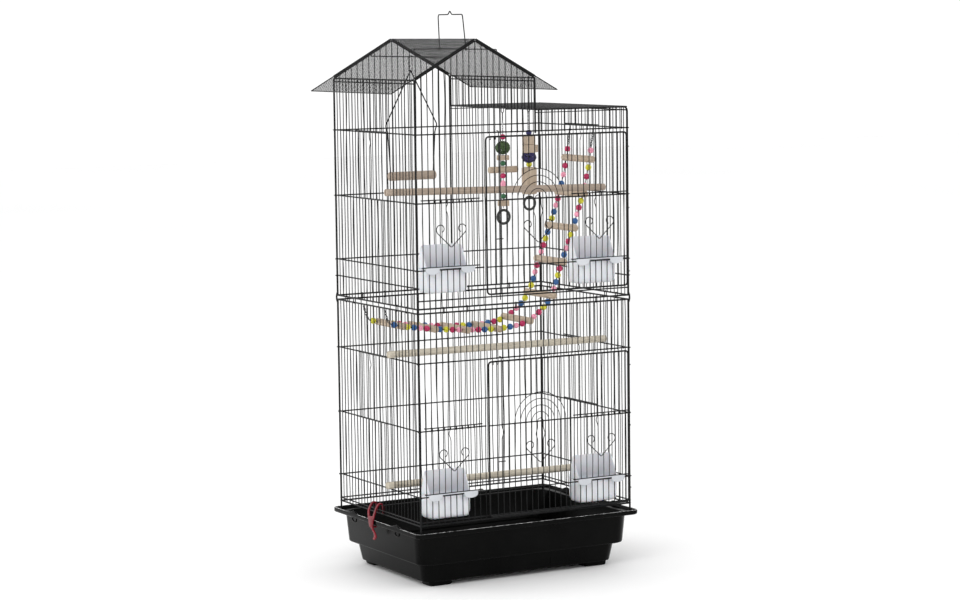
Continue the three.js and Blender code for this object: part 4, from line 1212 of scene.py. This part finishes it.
def toy_ring(name, node, body):
    low, high = cad(node)
    centre = (low + high) / 2
    tube = (high.y - low.y) / 2 * 1.12
    radius = (high.z - low.z) / 2 - tube * 0.9
    shape = Shape()
    path = [(centre.x - SHIFT + radius * math.cos(2 * math.pi * k / 40), centre.y,
             centre.z + radius * math.sin(2 * math.pi * k / 40)) for k in range(40)]
    shape.tube(path, tube, 14, closed=True)
    shape.make(name, body, "black_plastic_ring", RING_BLACK, [node])


def toy_one():
    body = "toy_1"
    low, high = cad("toy_1_wicker_ball")
    x, y = (low.x + high.x) / 2 - SHIFT, (low.y + high.y) / 2
    z = FLAT_TOP
    stem = Shape()
    hook_wire(stem, x, y, z)
    stem.tube([(x, y, z - 9), (x, y, z - 26)], 1.0)
    stem.tube([(x, y, z - 48), (x, y, cad("toy_1_hanger")[0].z + 1)], 0.7)
    stem.make("toy_1_stem", body, "black_wire", BLACK, ["toy_1_hanger"])
    links = Shape()
    chain(links, [(x, y, z - 24), (x, y, z - 50)])
    links.make("toy_1_chain", body, "chain", STEEL)
    wicker_ball("toy_1_vine_ball", x, y, (low.z + high.z) / 2, (high.x - low.x) / 2, (high.z - low.z) / (high.x - low.x),
                GREEN_VINE, "green_wicker", body, "toy_1_wicker_ball")
    for node, corner in (("toy_1_block", 1.2), ("toy_1_chip", 1.0)):
        low, high = cad(node)
        shape = Shape()
        shape.block((low.x - SHIFT, low.y, low.z), (high.x - SHIFT, high.y, high.z), corner, 0.9)
        shape.make(f"{node}_piece", body, "wood", TOY_WOOD[0], [node], sharp=30)
    low, high = cad("toy_1_stick")
    radius = (high.z - low.z) / 2
    half = (high.x - low.x) / 2
    shape = Shape()
    shape.lathe((x, y, (low.z + high.z) / 2), [(radius - 1, -half), (radius, -half + 1), (radius, 0),
                                               (radius, half - 1), (radius - 1, half)], (1, 0, 0), 22)
    shape.make("toy_1_stick_piece", body, "wood", TOY_WOOD[0], ["toy_1_stick"], sharp=50)
    toy_beads("toy_1", body, x, y, [(z - 54, 5.6, "crimson", 0.9), (z - 103, 5.2, "green", 0.9), (z - 126, 5.4, "crimson", 0.9),
                                    (z - 145, 5.6, "pink", 1.9), (z - 164, 5.2, "green", 0.9)])
    toy_ring("toy_1_hoop", "toy_1_ring", "toy_1_ring_body")


def toy_two():
    body = "toy_2"
    low, high = cad("toy_2_wicker_ball")
    x, y = (low.x + high.x) / 2 - SHIFT, (low.y + high.y) / 2
    z = FLAT_TOP
    stem = Shape()
    hook_wire(stem, x, y, z)
    stem.tube([(x, y, z - 42), (x, y, cad("toy_2_hanger")[0].z + 1)], 0.7)
    stem.make("toy_2_stem", body, "black_wire", BLACK, ["toy_2_hanger"])
    links = Shape()
    chain(links, [(x, y, z - 8), (x, y, z - 43)])
    links.make("toy_2_chain", body, "chain", STEEL)
    wicker_ball("toy_2_vine_ball", x, y, (low.z + high.z) / 2, 14.0, 0.56 + 0.2, NAVY_VINE, "navy_wicker", body,
                "toy_2_wicker_ball")
    low, high = cad("toy_2_blocks")
    shape = Shape()
    shape.block((x - 10, y - 8, low.z + 15.6), (x + 10, y + 8, high.z), 1.4, 1.0)
    shape.block((x - 10.4, y - 8.2, low.z), (x + 9.6, y + 7.8, low.z + 15.2), 1.4, 1.0)
    shape.block((x + 9.8, y - 5, low.z + 1), (high.x - SHIFT, y + 5, low.z + 15), 1.2, 0.9)
    shape.make("toy_2_block_pieces", body, "wood", TOY_WOOD[2], ["toy_2_blocks"], sharp=30)
    low, high = cad("toy_2_log")
    radius = (high.x - low.x) / 2
    shape = Shape()
    shape.lathe((x, y, 0), [(radius - 1.4, low.z), (radius, low.z + 1.4), (radius, (low.z + high.z) / 2),
                            (radius, high.z - 1.4), (radius - 1.4, high.z)], (0, 0, 1), 26)
    shape.make("toy_2_log_piece", body, "wood", TOY_WOOD[2], ["toy_2_log"], sharp=50)
    toy_beads("toy_2", body, x, y, [(z - 47, 5.6, "navy", 0.9), (z - 106, 5.6, "yellow", 0.9)])
    toy_ring("toy_2_hoop", "toy_2_ring", "toy_2_ring_body")


# ---- bead bridge -------------------------------------------------------------------------------------------------------
BRIDGE_LINE = [
    (211, -5, 776), (207, -5, 747), (190, -5, 683), (169, -2, 620), (146, 0, 559), (124, 4, 497),
    (81, 8, 458), (30, 10, 447), (-35, 12, 447), (-100, 14, 452), (-166, 16, 460), (-205, 17, 468),
]
BRIDGE_HALF = 42
RUNG_COUNT = 10
BACK_TONES = ["crimson pink blue", "crimson pink blue yellow", "blue yellow crimson pink", "crimson pink blue yellow",
               "yellow blue pink crimson", "yellow crimson blue pink", "blue yellow crimson pink", "crimson pink blue yellow",
               "pink crimson yellow blue", "yellow"]
FRONT_TONES = ["yellow crimson pink", "yellow crimson pink blue", "yellow crimson pink blue", "crimson yellow blue pink",
              "blue yellow crimson pink", "crimson pink blue yellow", "yellow blue crimson pink", "pink crimson yellow blue",
              "crimson pink blue yellow", "blue"]


class Line:
    """A curve that gives the point and direction at a share of its length."""

    def __init__(self, points):
        self.points = smooth_path(points, 24)
        self.runs = [0.0]
        for a, b in zip(self.points, self.points[1:]):
            self.runs.append(self.runs[-1] + (b - a).length)
        self.length = self.runs[-1]

    def at(self, run):
        run = min(max(run, 0.0), self.length - 1e-6)
        k = max(i for i, r in enumerate(self.runs) if r <= run)
        t = (run - self.runs[k]) / (self.runs[k + 1] - self.runs[k])
        a, b = self.points[k], self.points[k + 1]
        return a.lerp(b, t), (b - a).normalized()


def bridge():
    middle = Line(BRIDGE_LINE)
    rungs = [(0.035 + i * 0.1035) * middle.length for i in range(RUNG_COUNT)]
    for i in range(RUNG_COUNT):
        low, high = cad(f"bridge_rung_{i + 1}")
        centre = (low + high) / 2
        half = (high.y - low.y) / 2
        radius = 6.4
        shape = Shape()
        shape.lathe((centre.x - SHIFT, centre.y, centre.z), [(radius - 1.2, -half), (radius, -half + 1.2), (radius, 0),
                                                             (radius, half - 1.2), (radius - 1.2, half)], (0, 1, 0), 22)
        shape.make(f"bridge_rung_{i + 1}_piece", "cage", "wood", TOY_WOOD[1], [f"bridge_rung_{i + 1}"], sharp=50)
    gathered = {tone: Shape() for tone in BEADS}
    for word, offset, tones in (("front", -BRIDGE_HALF, FRONT_TONES), ("back", BRIDGE_HALF, BACK_TONES)):
        line = Line([(x, y + offset, z) for x, y, z in BRIDGE_LINE])
        wire = Shape()
        wire.tube(line.points[::6] + [line.points[-1]], 0.8, 6)
        wire.make(f"bridge_{word}_core", "cage", "black_wire", BLACK, [f"bridge_{word}_wire"])
        bead_string(gathered, line, rungs, tones)
        bridge_chains(word, line)
    point, ahead = Line([(x, y - BRIDGE_HALF, z) for x, y, z in BRIDGE_LINE]).at(8)
    bead(gathered["pink"], point - ahead * 2, 5.8, ahead)
    point, ahead = Line([(x, y + BRIDGE_HALF, z) for x, y, z in BRIDGE_LINE]).at(8)
    bead(gathered["crimson"], point - ahead * 2, 5.8, ahead)
    for tone, shape in gathered.items():
        if shape.verts:
            shape.make(f"bridge_{tone}_beads", "cage", BEADS[tone][0], BEADS[tone][1])


def bead_string(gathered, line, rungs, tones):
    clear = 7.0
    for i, run in enumerate(rungs):
        end = rungs[i + 1] if i + 1 < len(rungs) else line.length + clear
        names = tones[i].split()
        room = end - run - 2 * clear
        step = room / len(names)
        for k, tone in enumerate(names):
            point, ahead = line.at(run + clear + step * (k + 0.5))
            radius = 5.9
            length = min(0.95, step / 2 / radius) * (1.0 if tone != "pink" else 1.04)
            bead(gathered[tone], point, radius if tone != "pink" else radius * 0.88, ahead, length)


def bridge_chains(word, line):
    start, _ = line.at(0)
    end, _ = line.at(line.length)
    top = Vector((RIGHT - 3.0, start.y, ring_level(SECTIONS["upper"]) - 3))
    seam = Vector((LEFT + 3.0, end.y, SECTIONS["lower"]["top"] - 4))
    shape = Shape()
    chain(shape, [start, top], 5.4, 3.6, 0.7)
    chain(shape, [end, end.lerp(seam, 0.45) - UP * 6, seam], 5.4, 3.6, 0.7)
    shape.make(f"bridge_{word}_chain", "cage", "chain", DARK_STEEL)


# ---- joints between the sections -----------------------------------------------------------------------------------------
def seam_loops():
    """Small wire loops that tie the two sections together."""
    shape = Shape()
    middle = (SECTIONS["lower"]["top"] + SECTIONS["upper"]["base"]) / 2
    places = [((x, y), ALONG_X) for y in (FRONT, BACK) for x in (-168, -120, -20, 60, 150)]
    places += [((x, y), ALONG_Y) for x in (LEFT, RIGHT) for y in (-118, -80, 90, 122)]
    for (x, y), axis in places:
        across = axis.cross(UP)
        path = [Vector((x, y, middle)) + across * a + UP * b for a, b in
                ((-2.0, -5.4), (2.0, -5.4), (2.0, 5.4), (-2.0, 5.4))]
        shape.tube(rounded(path, 1.9, 3, closed=True), 0.95, 6, closed=True)
    for x in (LEFT, RIGHT):
        for y in (FRONT, BACK):
            out = Vector((math.copysign(1.3, x), math.copysign(1.3, y), 0))
            corner = [Vector((x, y, middle + rise)) + out * share
                      for rise, share in ((-9.0, 0.2), (-3.5, 1.0), (3.5, 1.0), (9.0, 0.2))]
            shape.tube(smooth_path(corner, 4), 1.7)
    shape.make("seam_loops", "cage", "black_wire", BLACK)


# ---- the whole cage --------------------------------------------------------------------------------------------------------
FEEDER_CENTRE = (bay_x(FEEDER_BAYS[0]) + bay_x(FEEDER_BAYS[1])) / 2
LEFT_CUP_OFFSET = -3
DOOR_FEEDER_CENTRE = sum(DOOR_FEEDER) / 2
base_tray()
for word in ("left", "right"):
    tray_clip(word)
for name in SECTIONS:
    front_wall(name)
    back_wall(name)
    for word in ("left", "right"):
        side_wall(name, word)
        side_door(name, word)
    main_door(name)
    door_bolt(name)
    feeder_door(name, "left", FEEDER_CENTRE, DOOR_Y, FRONT)
    feeder_door(name, "right", DOOR_FEEDER_CENTRE, FEED_Y, DOOR_Y)
    feeder_cup(name, "left", FEEDER_CENTRE + LEFT_CUP_OFFSET, FRONT, DOOR_Y)
    feeder_cup(name, "right", DOOR_FEEDER_CENTRE, DOOR_Y, FEED_Y)
seam_loops()
top_panel()
roof_slope("left", -1)
roof_slope("right", 1)
carry_handle()
for name in ("upper_perch", "middle_perch", "lower_perch"):
    perch(name)
swing()
toy_one()
toy_two()
bridge()


# ---- stage -------------------------------------------------------------------------------------------------------------------
def make_stage():
    mesh = bpy.data.meshes.new("floor")
    half = 14.0
    mesh.from_pydata([(-half, -half, 0), (half, -half, 0), (half, half, 0), (-half, half, 0)], [], [(0, 1, 2, 3)])
    floor = bpy.data.objects.new("floor", mesh)
    bpy.context.scene.collection.objects.link(floor)
    look = Look("floor_paint", 0.7, Specular_IOR_Level=0.1)
    look.color(look.ramp(look.noise(0.6, detail=1), [(0.3, (0.93, 0.93, 0.93)), (0.7, (0.95, 0.95, 0.95))]))
    mesh.materials.append(look.material)


def area_light(name, at, target, size, power):
    data = bpy.data.lights.new(name, "AREA")
    data.shape = "SQUARE"
    data.size = size
    data.energy = power
    light = bpy.data.objects.new(name, data)
    bpy.context.scene.collection.objects.link(light)
    light.location = at
    light.rotation_mode = "QUATERNION"
    light.rotation_quaternion = (Vector(target) - Vector(at)).to_track_quat("-Z", "Y")


def make_light():
    world = bpy.data.worlds.new("studio")
    world.use_nodes = True
    background = world.node_tree.nodes["Background"]
    background.inputs["Color"].default_value = (1, 1, 1, 1)
    background.inputs["Strength"].default_value = 1.07
    bpy.context.scene.world = world
    area_light("key", (-2.2, -2.0, 2.8), (0, 0, 0.5), 1.6, 26)
    area_light("fill", (2.4, -2.4, 2.0), (0, 0, 0.5), 2.0, 10)
    area_light("side", (-3.4, 2.6, 1.2), (0, 0, 0.4), 2.4, 50)
    bpy.context.scene.view_settings.view_transform = "Standard"


make_stage()
make_light()
